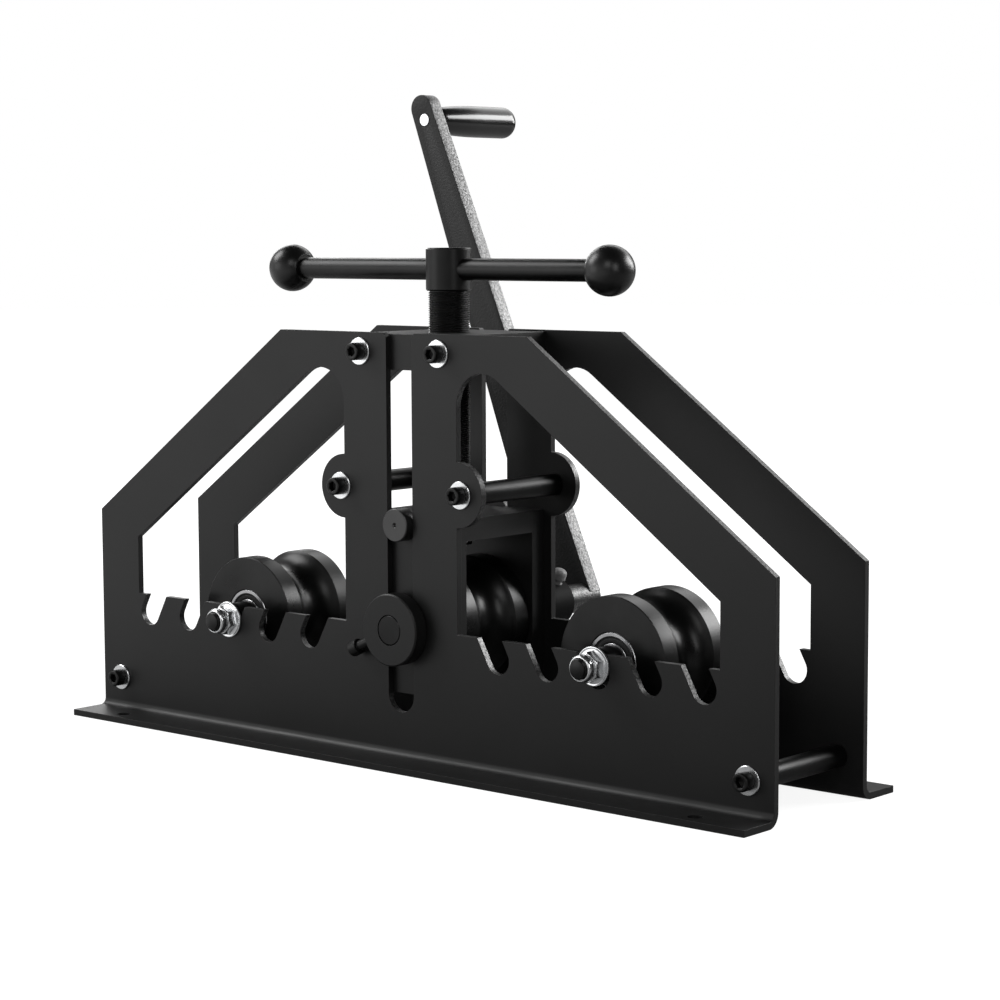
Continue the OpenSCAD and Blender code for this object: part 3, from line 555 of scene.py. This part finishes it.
def make_thread_tree():
    """Sweeps a trapezium along a spiral about the Z direction."""
    tree, given, out = new_tree("thread", [
        ("Core radius", "Float", 0.0178), ("Depth", "Float", 0.0012), ("Pitch", "Float", 0.002),
        ("Turns", "Float", 10.0), ("Start", "Float", 0.0), ("Steps", "Int", 40),
        ("Material", "Material", None)])
    spiral = tree.nodes.new("GeometryNodeCurveSpiral")
    spiral.inputs["Reverse"].default_value = True
    lift = tree.nodes.new("ShaderNodeCombineXYZ")
    place = tree.nodes.new("GeometryNodeTransform")
    upright = tree.nodes.new("GeometryNodeSetCurveNormal")
    upright.mode = "Z_UP"
    section = tree.nodes.new("GeometryNodeCurvePrimitiveQuadrilateral")
    section.mode = "TRAPEZOID"
    section.inputs["Offset"].default_value = 0
    outward = tree.nodes.new("GeometryNodeTransform")
    outward.inputs["Rotation"].default_value = (0, 0, -math.pi / 2)
    sweep = tree.nodes.new("GeometryNodeCurveToMesh")
    sweep.inputs["Fill Caps"].default_value = True
    pitch, depth, turns = (given.outputs[label] for label in ("Pitch", "Depth", "Turns"))
    middle = math_node(tree, "MULTIPLY_ADD", depth, 0.5, given.outputs["Core radius"])
    tree.links.new(given.outputs["Steps"], spiral.inputs["Resolution"])
    tree.links.new(turns, spiral.inputs["Rotations"])
    tree.links.new(middle, spiral.inputs["Start Radius"])
    tree.links.new(middle, spiral.inputs["End Radius"])
    tree.links.new(math_node(tree, "MULTIPLY", turns, pitch), spiral.inputs["Height"])
    tree.links.new(spiral.outputs["Curve"], place.inputs["Geometry"])
    tree.links.new(given.outputs["Start"], lift.inputs["Z"])
    tree.links.new(lift.outputs[0], place.inputs["Translation"])
    tree.links.new(place.outputs["Geometry"], upright.inputs["Curve"])
    for label, share in (("Bottom Width", RIDGE_FOOT), ("Top Width", RIDGE_TOP)):
        tree.links.new(math_node(tree, "MULTIPLY", pitch, share), section.inputs[label])
    tree.links.new(depth, section.inputs["Height"])
    tree.links.new(section.outputs["Curve"], outward.inputs["Geometry"])
    tree.links.new(upright.outputs["Curve"], sweep.inputs["Curve"])
    tree.links.new(outward.outputs["Geometry"], sweep.inputs["Profile Curve"])
    end_tree(tree, given, out, sweep.outputs["Mesh"])
    return tree


threads = make_thread_tree()


def thread(name, core, depth, start, turns, pitch=2.0, steps=40):
    """A ridge on a core, both in mm, that starts at a height and runs up for some turns."""
    piece = grow(name, threads, {
        "Core radius": (core - RIDGE_SINK) * MM, "Depth": depth * MM, "Pitch": pitch * MM,
        "Start": start * MM, "Turns": float(turns), "Steps": steps, "Material": black_steel})
    piece.data.shade_flat()
    return piece


# %% [markdown]
# The T-bar that the photograph shows is 1 mm thicker than its solid, so the holes for it in
# the head and in the spigot of the jackscrew are opened a little. The threaded part of the
# core shrinks to the root of its thread.

# %% The jackscrew and its thread
SCREW_RADIUS = 19
SCREW_ROOT = 17.75
SPIGOT_RADIUS = 14
HEAD_RADIUS = 21
BAR_HEIGHT = 445.9
OLD_HOLE = 9.55
NEW_HOLE = 10.1


def widen_bar_hole(mesh, outer):
    """Widens the cross hole for the bar, and keeps its mouth on the round of the given radius."""
    for vertex in mesh.vertices:
        x, y, z = vertex.co / MM
        reach = math.hypot(y, z - BAR_HEIGHT)
        if abs(reach - OLD_HOLE) > 0.06:
            continue
        grown = NEW_HOLE / reach
        y, z = y * grown, BAR_HEIGHT + (z - BAR_HEIGHT) * grown
        if abs(x) > outer / 2:
            x = math.copysign(math.sqrt(outer ** 2 - y ** 2), x)
        vertex.co = Vector((x, y, z)) * MM


head_mesh = nodes["screw_head"].data.copy()
widen_bar_hole(head_mesh, HEAD_RADIUS)
finish(add_piece("screw_head_bored", head_mesh), black_steel,
       "screw", ("screw_head",))
core_mesh = nodes["jackscrew"].data.copy()
widen_bar_hole(core_mesh, SPIGOT_RADIUS)
for vertex in core_mesh.vertices:
    if abs(vertex.co.xy.length - SCREW_RADIUS * MM) < 0.05 * MM:
        vertex.co.xy *= SCREW_ROOT / SCREW_RADIUS
core_mesh.update()
finish(add_piece("jackscrew_core", core_mesh), black_steel,
       "screw", ("jackscrew",))
screw_thread = thread("jackscrew_thread", SCREW_ROOT, depth=1.25, start=229.2, turns=98, steps=48)
finish(screw_thread, black_steel, "screw")

# %% [markdown]
# ## Flanged lock nuts
# These nuts hold the outer axles. A thin flange spreads the load over the open hook slot, the
# outer corners of the hexagon are turned off, and a rolled collar grips the thread.

# %% Axles
AXLE_SPOTS = [(centre_of(die).x / MM, centre_of(die).z / MM) for die in ("left_die", "right_die")]
STUD_ROOT = 8.1
half_axle = [(12.5, 0), (12.5, 67.2), (12, 67.7), (8.9, 67.7), (8.9, 68.4),
             (STUD_ROOT, 69.2), (STUD_ROOT, 90.4), (7.9, 91.2), (7.2, 91.6), (0, 91.6)]
axle = lathe("axle", mirrored(half_axle) + half_axle)
finish(seat("axles", axle, [(x, 0, z) for x, z in AXLE_SPOTS], black_steel), black_steel,
       "frame", ("left_axle", "right_axle"))
axle_places = [(x, face * OUTER_FACE, z) for face in (-1, 1) for x, z in AXLE_SPOTS]
stud_thread = thread("stud thread", STUD_ROOT, depth=0.85, start=1.4, turns=10.4)
finish(seat("axle_threads", stud_thread, axle_places, black_steel), black_steel,
       "frame")

# %% Nuts of the axles
side = hexagon(12)


def falling(cone):
    """Radius of the hexagon where a cone of the given radius turns its corners off."""
    return lambda angle: min(cone, side(angle))


nut = lathe("nut", [
    (9.4, 0), (16.9, 0), (17.25, 0.5), (17.25, 1.7), (16.9, 2.3), (16.3, 2.4), (15.6, 2.1),
    (14.6, 2.2), (side, 2.8), (side, 9.6), (falling(13.5), 10.4), (falling(12.9), 11.1),
    (falling(12.3), 11.7), (11.3, 12), (11.1, 12.6), (11.6, 13.3), (12, 14.3), (12.1, 16.6),
    (11.9, 18.4), (11.3, 19.6), (10.5, 20.3), (9.8, 20.4), (9.4, 19.9), (9.3, 17.5), (9.1, 17.5),
    (9.1, 0.4)], closed=True)
finish(seat("axle_lock_nuts", nut, axle_places, zinc, turn=1.0), zinc,
       "frame", ("left_axle_nuts", "right_axle_nuts"))

# %% [markdown]
# ## Bearings
# Each outer die turns on two sealed ball bearings of 25 by 52 mm. The ground rings catch the
# light on their rounded edges, and the rubber seal between them has a pressed groove.

# %% Bearings of the outer dies
DIE_FACE = 43.5
inner_ring = lathe("inner ring", [
    (12.6, -14.4), (13, -15), (16, -15), (16.5, -14.5), (16.5, -0.5), (16, 0), (13.1, 0),
    (12.55, -0.6)], closed=True)
inner_places = [(x, face * DIE_FACE, z) for face in (-1, 1) for x, z in AXLE_SPOTS]
finish(seat("die_bearing_inner_rings", inner_ring, inner_places, steel), steel,
       "frame", ("left_inner_rings", "right_inner_rings"))
outer_ring = lathe("outer ring", [
    (22.2, -14.5), (22.7, -15), (25.4, -15), (26, -14.4), (26, -0.7), (25.4, 0), (22.7, 0),
    (22.2, -0.5)], closed=True)
seal = lathe("seal", [
    (16.8, -14.4), (22.1, -14.4), (22.1, -0.7), (21.6, -0.6), (21.2, -0.9), (20.3, -0.9),
    (19.9, -0.6), (18, -0.6), (17.5, -1), (16.8, -1)], closed=True)
for (x, z), name in zip(AXLE_SPOTS, ("left", "right")):
    places = [(x, face * DIE_FACE, z) for face in (-1, 1)]
    finish(seat(name + "_bearing_outer_rings", outer_ring, places, steel), steel,
           name + "_roller", (name + "_outer_rings",))
    finish(seat(name + "_bearing_seals", seal, places, rubber), rubber,
           name + "_roller", (name + "_seals",))

# %% [markdown]
# ## Dies
# The dies are turned from one blank with a tube groove. The photograph shows the groove about
# 7 mm wider at its mouth than the solid has it, so these dies are turned again here, with
# the wider groove, broken edges and a smooth round. GROOVE_MOUTH is half its width.

# %% Dies
GROOVE_MOUTH = 25
GROOVE_DEPTH = 16.5
DIE_RADIUS = 57.5
RIM_CHAMFER = 0.6
groove_radius = (GROOVE_MOUTH ** 2 + GROOVE_DEPTH ** 2) / (2 * GROOVE_DEPTH)
groove_centre = DIE_RADIUS - GROOVE_DEPTH + groove_radius
groove_reach = math.asin((GROOVE_MOUTH - 0.1) / groove_radius)
groove = [(groove_centre - groove_radius * math.cos(turn), groove_radius * math.sin(turn))
          for turn in [groove_reach * step / 12 for step in range(-12, 13)]]
rim = [(DIE_RADIUS, GROOVE_MOUTH + 0.15), (DIE_RADIUS, DIE_FACE - RIM_CHAMFER),
       (DIE_RADIUS - RIM_CHAMFER, DIE_FACE)]


def turned_die(name, body, bore):
    """bore lists radius and place of the hole through the die, from the rear face."""
    piece = lathe(name, mirrored(rim) + groove + rim + bore, closed=True, steps=128)
    lay(piece, centre_of(name), math.pi / 2, "X")
    piece.name = name + "_turned"
    finish(piece, finish_of[name], body, (name,))


seat_bore = [(26.6, DIE_FACE), (26.05, DIE_FACE - 0.5), (26.05, 28.5), (23, 28.5)]
bearing_bore = seat_bore + mirrored(seat_bore)
turned_die("left_die", "left_roller", bearing_bore)
turned_die("right_die", "right_roller", bearing_bore)
spindle_bore = [(14.6, DIE_FACE), (14.05, DIE_FACE - 0.5)]
turned_die("centre_die", "crankshaft", spindle_bore + mirrored(spindle_bore))

# %% [markdown]
# ## Guide buttons
# A button on each side of the yoke runs in the centre slot and keeps the yoke from turning
# with the screw. Its face keeps the dimple of the centre drill that held it on the lathe.

# %% Guide buttons
GUIDE_HEIGHT = 217.4
guide = lathe("guide", [
    (0, -22.4), (6, -22.4), (6, -6.4), (14.4, -6.4), (15, -5.8), (15, 6.5), (14.2, 7.3),
    (2.4, 7.3), (1.4, 6.4), (0.9, 5.4), (0, 5.1)])
worn_steel = make_black_steel("worn black oxide of the guide buttons", tone=0.06, rough=0.4)
guide_places = [(0, face * OUTER_FACE, GUIDE_HEIGHT) for face in (-1, 1)]
finish(seat("guide_buttons", guide, guide_places, worn_steel), worn_steel,
       "yoke", ("front_guide", "rear_guide"))

# %% [markdown]
# ## Clamp screws
# Socket screws clamp the collars on the spindle, and screws with domed heads clamp the crank's
# hub. They stand out radially, so each is turned once and then laid along its own direction.

# %% Clamp screws of collars and hub
CLAMP_HEAD = 10
spindle_axis = centre_of("spindle")


def clamp_screw(reach, edge, top):
    """Screw whose head ends at a reach from the spindle axis, in a bore that ends at edge.
    top lists radius and depth of the head's end."""
    head = reach - CLAMP_HEAD
    return lathe("clamp screw", [
        (0, 14.2), (5.45, 14.2), (5.45, edge + 0.6), (4.9, edge + 1), (4.9, head), (6.9, head),
        (7.2, head + 0.4)] + [(radius, reach - depth) for radius, depth in top])


SOCKET_TOP = [(7.2, 1.2), (6.9, 0.4), (6.3, 0), (4.4, 0), (hexagon(3.6), 0.6), (hexagon(3.5), 1),
              (hexagon(3.5), 5.5), (0, 6.3)]
DOME_TOP = [(7.2, 4.6), (7, 3.4), (6.4, 2.2), (5.4, 1.2), (4, 0.5), (2.2, 0.1), (0, 0)]


def radial(name, reach, edge, lean, places, top, material, replaced):
    """Clamp screws at places along the spindle, in mm. lean is in degrees right of upright."""
    builder = bmesh.new()
    for place in places:
        master = clamp_screw(reach, edge, top)
        lay(master, (0, place * MM, spindle_axis.z), math.radians(lean), "Y")
        builder.from_mesh(master.data)
        bpy.data.objects.remove(master)
    mesh = bpy.data.meshes.new(name)
    builder.to_mesh(mesh)
    builder.free()
    mesh.set_sharp_from_angle(angle=SHARP_EDGE)
    finish(add_piece(name, mesh), material, "crankshaft", replaced)


radial("collar_clamp_screws", reach=58, edge=33, lean=-114, places=(-76.1, 76.1),
       top=SOCKET_TOP, material=black_steel, replaced=("collar_screws",))
# The hub screws' light grey coat is a painted highlight.
radial("hub_clamp_screws", reach=36.5, edge=22, lean=22, places=(100.4, 142.9),
       top=DOME_TOP, material=painted_highlight_coat, replaced=("hub_screws",))

# %% [markdown]
# ## Crank
# The arm is cut from 16 mm plate: one long edge is straight, the other slopes, so the arm is
# wide where it is welded to the stub and narrow at the grip. It is drawn as a flat outline
# with a hole for the pin, given its thickness and rounded edges, and stood up. Its foot goes
# round the underside of the stub, and its straight edge runs out a little there.

# %% Crank arm
CRANK_LEAN = math.radians(23.3)
SPINDLE_HEIGHT = 123
ARM_TOP = 523.7
ARM_FACE = 188.4
ARM_THICKNESS = 16
ARM_HALF = 13.5
ARM_FOOT = (-43.5, 1)
ARM_RUNOUT = 1.1
STUB_RADIUS = 14.05
PIN_HEIGHT = 511
PIN_BORE = 6.05
ARM_EDGE = 0.6
slope = math.atan2(ARM_FOOT[1] - ARM_TOP, ARM_FOOT[0])
meet = slope - math.acos(ARM_HALF / math.hypot(ARM_FOOT[0], ARM_FOOT[1] - ARM_TOP))


def arc(centre, radius, start, end, steps):
    """Points of an arc in the arm's own plane, in mm, from one angle to another."""
    turns = [start + (end - start) * step / steps for step in range(steps + 1)]
    return [(radius * math.cos(turn), centre + radius * math.sin(turn)) for turn in turns]


stub_cut = math.asin(ARM_FOOT[1] / STUB_RADIUS)
outline = [ARM_FOOT] + arc(0, STUB_RADIUS, math.pi - stub_cut, math.radians(4), 24)
outline += [(ARM_HALF + ARM_RUNOUT, ARM_FOOT[1])]
outline += arc(ARM_TOP, ARM_HALF, 0, meet % (2 * math.pi), 28)
pin_hole = arc(PIN_HEIGHT, PIN_BORE, 0, 2 * math.pi, 32)[:-1]
drawing = bpy.data.curves.new("arm drawing", "CURVE")
drawing.dimensions = "2D"
drawing.fill_mode = "BOTH"
drawing.extrude = (ARM_THICKNESS / 2 - ARM_EDGE) * MM
drawing.bevel_depth = ARM_EDGE * MM
drawing.bevel_resolution = 2
drawing.offset = -ARM_EDGE * MM
for points in (outline, pin_hole):
    line = drawing.splines.new("POLY")
    line.points.add(len(points) - 1)
    line.use_cyclic_u = True
    for point, (x, z) in zip(line.points, points):
        point.co = (x * MM, z * MM, 0, 1)
sketch = add_piece("arm sketch", drawing)
bpy.context.view_layer.update()
drawn_arm = sketch.evaluated_get(bpy.context.evaluated_depsgraph_get())
arm_mesh = bpy.data.meshes.new_from_object(drawn_arm)
bpy.data.objects.remove(sketch)
arm_mesh.transform(
    Matrix.Translation((0, (ARM_FACE + ARM_THICKNESS / 2) * MM, SPINDLE_HEIGHT * MM))
    @ Matrix.Rotation(-CRANK_LEAN, 4, "Y") @ Matrix.Rotation(math.pi / 2, 4, "X"))
arm_builder = bmesh.new()
arm_builder.from_mesh(arm_mesh)
bmesh.ops.remove_doubles(arm_builder, verts=arm_builder.verts, dist=0.001 * MM)
bmesh.ops.recalc_face_normals(arm_builder, faces=arm_builder.faces)
arm_builder.to_mesh(arm_mesh)
arm_builder.free()
arm_mesh.shade_smooth()
arm_mesh.set_sharp_from_angle(angle=SHARP_EDGE)
finish(add_piece("crank_arm_tapered", arm_mesh), rough_coat,
       "crankshaft", ("crank_arm",))

# %% [markdown]
# The hub is turned again, 2 mm wider than its solid, and its coat is darker as painted shade.
# The spindle and the stub keep the shape of their solids and get a dark finish, as they are
# black in the photograph. The stub's coat also carries the painted highlight on faces that
# slant in X and Z.

# %% Hub of the crank
HUB_RADIUS = 22
HUB_BORE = 14.05
HUB_EDGE = 0.8
hub_low, hub_high = (corner.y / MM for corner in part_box("crank_hub"))
hub = lathe("crank_hub_turned", [
    (HUB_BORE, -hub_high), (HUB_RADIUS - HUB_EDGE, -hub_high), (HUB_RADIUS, HUB_EDGE - hub_high),
    (HUB_RADIUS, -HUB_EDGE - hub_low), (HUB_RADIUS - HUB_EDGE, -hub_low), (HUB_BORE, -hub_low)],
    closed=True)
lay(hub, (spindle_axis.x, 0, spindle_axis.z), math.pi / 2, "X")
finish(hub, painted_shade_hub_coat, "crankshaft", ("crank_hub",))
print("hub of the crank:", round(hub_high - hub_low, 1), "mm long")

# %% Spindle and stub in their dark finish
for node, material, slot in (("spindle", black_steel, "black_oxide"),
                             ("crank_stub", rough_coat, "black_coat")):
    dark_copy = add_piece(node + "_dark", nodes[node].data.copy())
    finish(dark_copy, material, "crankshaft", (node,))

# %% [markdown]
# ## T-bar
# The bar slides in the head of the jackscrew, and in the photograph it has slid a little to
# the left. Each ball has a flat where the bar enters it, which also clears the head of the
# screw when the bar has slid to its end.

# %% T-bar and its balls
BAR_RADIUS = 10
BALL_RADIUS = 22.5
BAR_SHIFT = 7.5
HALF_SPAN = 195
BALL_FLAT = 18.1
BALL_STEPS = 40
bar_place = (-BAR_SHIFT * MM, 0, BAR_HEIGHT * MM)
bar_end = HALF_SPAN - BALL_FLAT + 0.5
half_bar = [(BAR_RADIUS, bar_end), (BAR_RADIUS - 3, bar_end + 0.5), (0, bar_end + 0.5)]
bar = lathe("t_bar", mirrored(half_bar) + half_bar)
lay(bar, bar_place, math.pi / 2, "Y")
finish(bar, black_steel, "bar", ("tommy_bar",))
flat_turn = math.acos(BALL_FLAT / BALL_RADIUS)
ball_turns = [flat_turn + (math.pi - flat_turn) * step / BALL_STEPS for step in range(BALL_STEPS)]
half_ball = [(0, HALF_SPAN - BALL_FLAT)]
half_ball += [(BALL_RADIUS * math.sin(turn), HALF_SPAN - BALL_RADIUS * math.cos(turn))
              for turn in ball_turns]
half_ball += [(0, HALF_SPAN + BALL_RADIUS)]
for side_name, direction in (("right", 1), ("left", -1)):
    ball_outline = [(radius, direction * place) for radius, place in half_ball]
    ball = lathe(side_name + "_ball_turned", ball_outline)
    lay(ball, bar_place, math.pi / 2, "Y")
    finish(ball, phenolic, "bar", (side_name + "_ball",))

# %% [markdown]
# ## The grip
# The grip is moulded with a slender neck that swells to a straight barrel. A turned outline
# with a smooth change is drawn here by a rule, so that the line of light along it bends once
# and has no kink. The far end is a flat disc with a large round.

# %% Grip
GRIP_LENGTH = 113
GRIP_NECK = 12.5
GRIP_RADIUS = 16
GRIP_SWELL = 58
GRIP_ROUND = 10.5


def grip_radius(along):
    """Radius of the grip at a distance from the arm, in mm."""
    share = min(along / GRIP_SWELL, 1)
    return GRIP_NECK + (GRIP_RADIUS - GRIP_NECK) * (1 - (1 - share) ** 2)


grip_rings = [(6.15, 0), (10.6, 0), (12.2, 0.5)]
grip_rings += [(grip_radius(along), along) for along in range(2, 62, 4)]
grip_rings += [(GRIP_RADIUS, along) for along in (70, 85, 100)]
for angle in range(0, 91, 10):
    across = GRIP_ROUND * math.cos(math.radians(angle))
    along = GRIP_ROUND * math.sin(math.radians(angle))
    grip_rings.append((GRIP_RADIUS - GRIP_ROUND + across, GRIP_LENGTH - GRIP_ROUND + along))
grip = lathe("crank_handle_grip", grip_rings + [(0, GRIP_LENGTH)])
pin_axis = centre_of("grip_pin")
grip_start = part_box("crank_grip")[0].y
lay(grip, (pin_axis.x, grip_start, pin_axis.z), -math.pi / 2, "X")
finish(grip, grip_plastic, "grip", ("crank_grip",))

# %% Put the masters away
for master in (frame_screw, washer, axle, stud_thread, nut, inner_ring, outer_ring, seal, guide):
    bpy.data.objects.remove(master)

# %% [markdown]
# ## Studio
# The photograph has a white ground all round, while the machine itself is lit with contrast.
# So the floor and the sky shine white for the camera. For reflections they shine white in
# front on the left and fade towards the back on the right, as round a real table with one
# large white wall. That fade is what keeps the inside of the yoke and the lower halves of the
# round pieces dark. To all other rays they give only a dim, even light. Near the machine the
# floor shines a little less than white and adds the light that falls on it, so that it keeps
# the machine's shadow.

# %% White for the camera, fading for reflections, dim for the rest
WHITE_WALL = (-0.63, -0.77, 0)
FLOOR_RADIUS = 14
FLOOR_GREY = 0.25
SKY_GREY = 0.15


def ramp(tree, value, start, end, low, high):
    """A smooth change from low, where the value is at start, to high at end."""
    node = tree.nodes.new("ShaderNodeMapRange")
    node.interpolation_type = "SMOOTHSTEP"
    for name, number in zip(("From Min", "From Max", "To Min", "To Max"), (start, end, low, high)):
        node.inputs[name].default_value = number
    tree.links.new(value, node.inputs["Value"])
    return node.outputs["Result"]


def towards_wall(tree, vector):
    """How far a vector points towards the white wall."""
    return vector_node(tree, "DOT_PRODUCT", vector, WHITE_WALL).outputs["Value"]


def by_ray(tree, shine, fade, lit, dim):
    """Gives lit the strength of shine for the camera and of fade for reflections. The mix that
    comes back has dim for all other rays, and its last input is left for the lit shader."""
    path = tree.nodes.new("ShaderNodeLightPath")
    camera_ray = path.outputs["Is Camera Ray"]
    reflected = math_node(tree, "MAXIMUM", path.outputs["Is Glossy Ray"],
                          path.outputs["Is Transmission Ray"])
    shown = math_node(tree, "MAXIMUM", reflected, camera_ray)
    strength = math_node(tree, "MAXIMUM", fade, math_node(tree, "MULTIPLY", camera_ray, shine))
    tree.links.new(strength, lit.inputs["Strength"])
    choose = tree.nodes.new("ShaderNodeMixShader")
    tree.links.new(shown, choose.inputs["Fac"])
    tree.links.new(dim.outputs[0], choose.inputs[1])
    return choose


# %% Floor
floor_mesh = bpy.data.meshes.new("floor")
floor_builder = bmesh.new()
bmesh.ops.create_circle(floor_builder, cap_ends=True, segments=96, radius=FLOOR_RADIUS)
floor_builder.to_mesh(floor_mesh)
floor_builder.free()
floor = bpy.data.objects.new("floor", floor_mesh)
bpy.context.scene.collection.objects.link(floor)
floor_material = bpy.data.materials.new("studio floor")
floor_material.use_nodes = True
floor_tree = floor_material.node_tree
paper = floor_tree.nodes["Principled BSDF"]
paper.inputs["Base Color"].default_value = (*grey(FLOOR_GREY), 1)
paper.inputs["Roughness"].default_value = 0.9
paper.inputs["Specular IOR Level"].default_value = 0.0
glow = floor_tree.nodes.new("ShaderNodeEmission")
shining = floor_tree.nodes.new("ShaderNodeAddShader")
floor_tree.links.new(paper.outputs["BSDF"], shining.inputs[0])
floor_tree.links.new(glow.outputs["Emission"], shining.inputs[1])
floor_place = floor_tree.nodes.new("ShaderNodeTexCoord").outputs["Object"]
floor_fade = ramp(floor_tree, towards_wall(floor_tree, floor_place), 0, 1.3, 0.04, 0.8)
floor_reach = vector_node(floor_tree, "LENGTH", floor_place).outputs["Value"]
floor_shine = ramp(floor_tree, floor_reach, 0.8, 1.8, 0.9, 1)
floor_choice = by_ray(floor_tree, floor_shine, floor_fade, glow, paper)
floor_out = floor_tree.nodes["Material Output"]
floor_tree.links.new(shining.outputs["Shader"], floor_choice.inputs[2])
floor_tree.links.new(floor_choice.outputs["Shader"], floor_out.inputs["Surface"])
floor_mesh.materials.append(floor_material)

# %% [markdown]
# The first four lamps stand behind the machine and draw bright lines on the bars, rims and
# sawn edges. The other four, at the sides and in front, lift the black plates just off the
# dark, as in the photograph.

# %% Lights
def area_light(name, place, target, size, power):
    """A soft lamp, in metres and watts, that looks at its target."""
    data = bpy.data.lights.new(name, "AREA")
    data.shape = "RECTANGLE"
    data.size, data.size_y = size
    data.energy = power
    lamp = bpy.data.objects.new(name, data)
    bpy.context.scene.collection.objects.link(lamp)
    lamp.location = place
    lamp.rotation_mode = "QUATERNION"
    lamp.rotation_quaternion = (Vector(target) - Vector(place)).to_track_quat("-Z", "Y")
    print(name, "at", place)


area_light("rim light", (1.6, 2.6, 1.8), (0, 0, 0.25), (1.9, 1.1), 90)
area_light("low back light", (1.1, 3, 1), (0, 0, 0.2), (1.1, 0.7), 28)
area_light("broad back light", (-0.6, 2.8, 2.2), (0, 0, 0.25), (3.4, 1.2), 30)
area_light("left rim light", (-2.6, 1.6, 1.5), (0, 0, 0.3), (1.2, 1.6), 24)
area_light("wall light", (-1.7, -2.2, 0.75), (0, 0, 0.2), (1.6, 1.2), 8)
area_light("upper left light", (-2.1, -0.8, 2.1), (0, 0, 0.3), (1.4, 1.4), 50)
area_light("camera light", (1.2, -1.9, 1.6), (0, 0, 0.3), (0.9, 0.9), 8)
area_light("right light", (2.9, -1.3, 1.3), (0, 0, 0.2), (0.9, 1.4), 14)

# %% Sky
world = bpy.data.worlds.new("studio")
bpy.context.scene.world = world
world.use_nodes = True
sky = world.node_tree
dim_sky = sky.nodes["Background"]
dim_sky.inputs["Color"].default_value = (*grey(SKY_GREY), 1)
white_sky = sky.nodes.new("ShaderNodeBackground")
white_sky.inputs["Color"].default_value = (*grey(1), 1)
direction = sky.nodes.new("ShaderNodeTexCoord").outputs["Generated"]
height = sky.nodes.new("ShaderNodeSeparateXYZ")
sky.links.new(direction, height.inputs[0])
around = ramp(sky, towards_wall(sky, direction), 0.2, 0.95, 0.1, 1.0)
dome = ramp(sky, height.outputs["Z"], 0.12, 0.6, 1.0, 0.25)
sky_choice = by_ray(sky, 1, math_node(sky, "MULTIPLY", around, dome), white_sky, dim_sky)
sky.links.new(white_sky.outputs["Background"], sky_choice.inputs[2])
sky.links.new(sky_choice.outputs["Shader"], sky.nodes["World Output"].inputs["Surface"])
bpy.context.scene.view_settings.view_transform = "Standard"
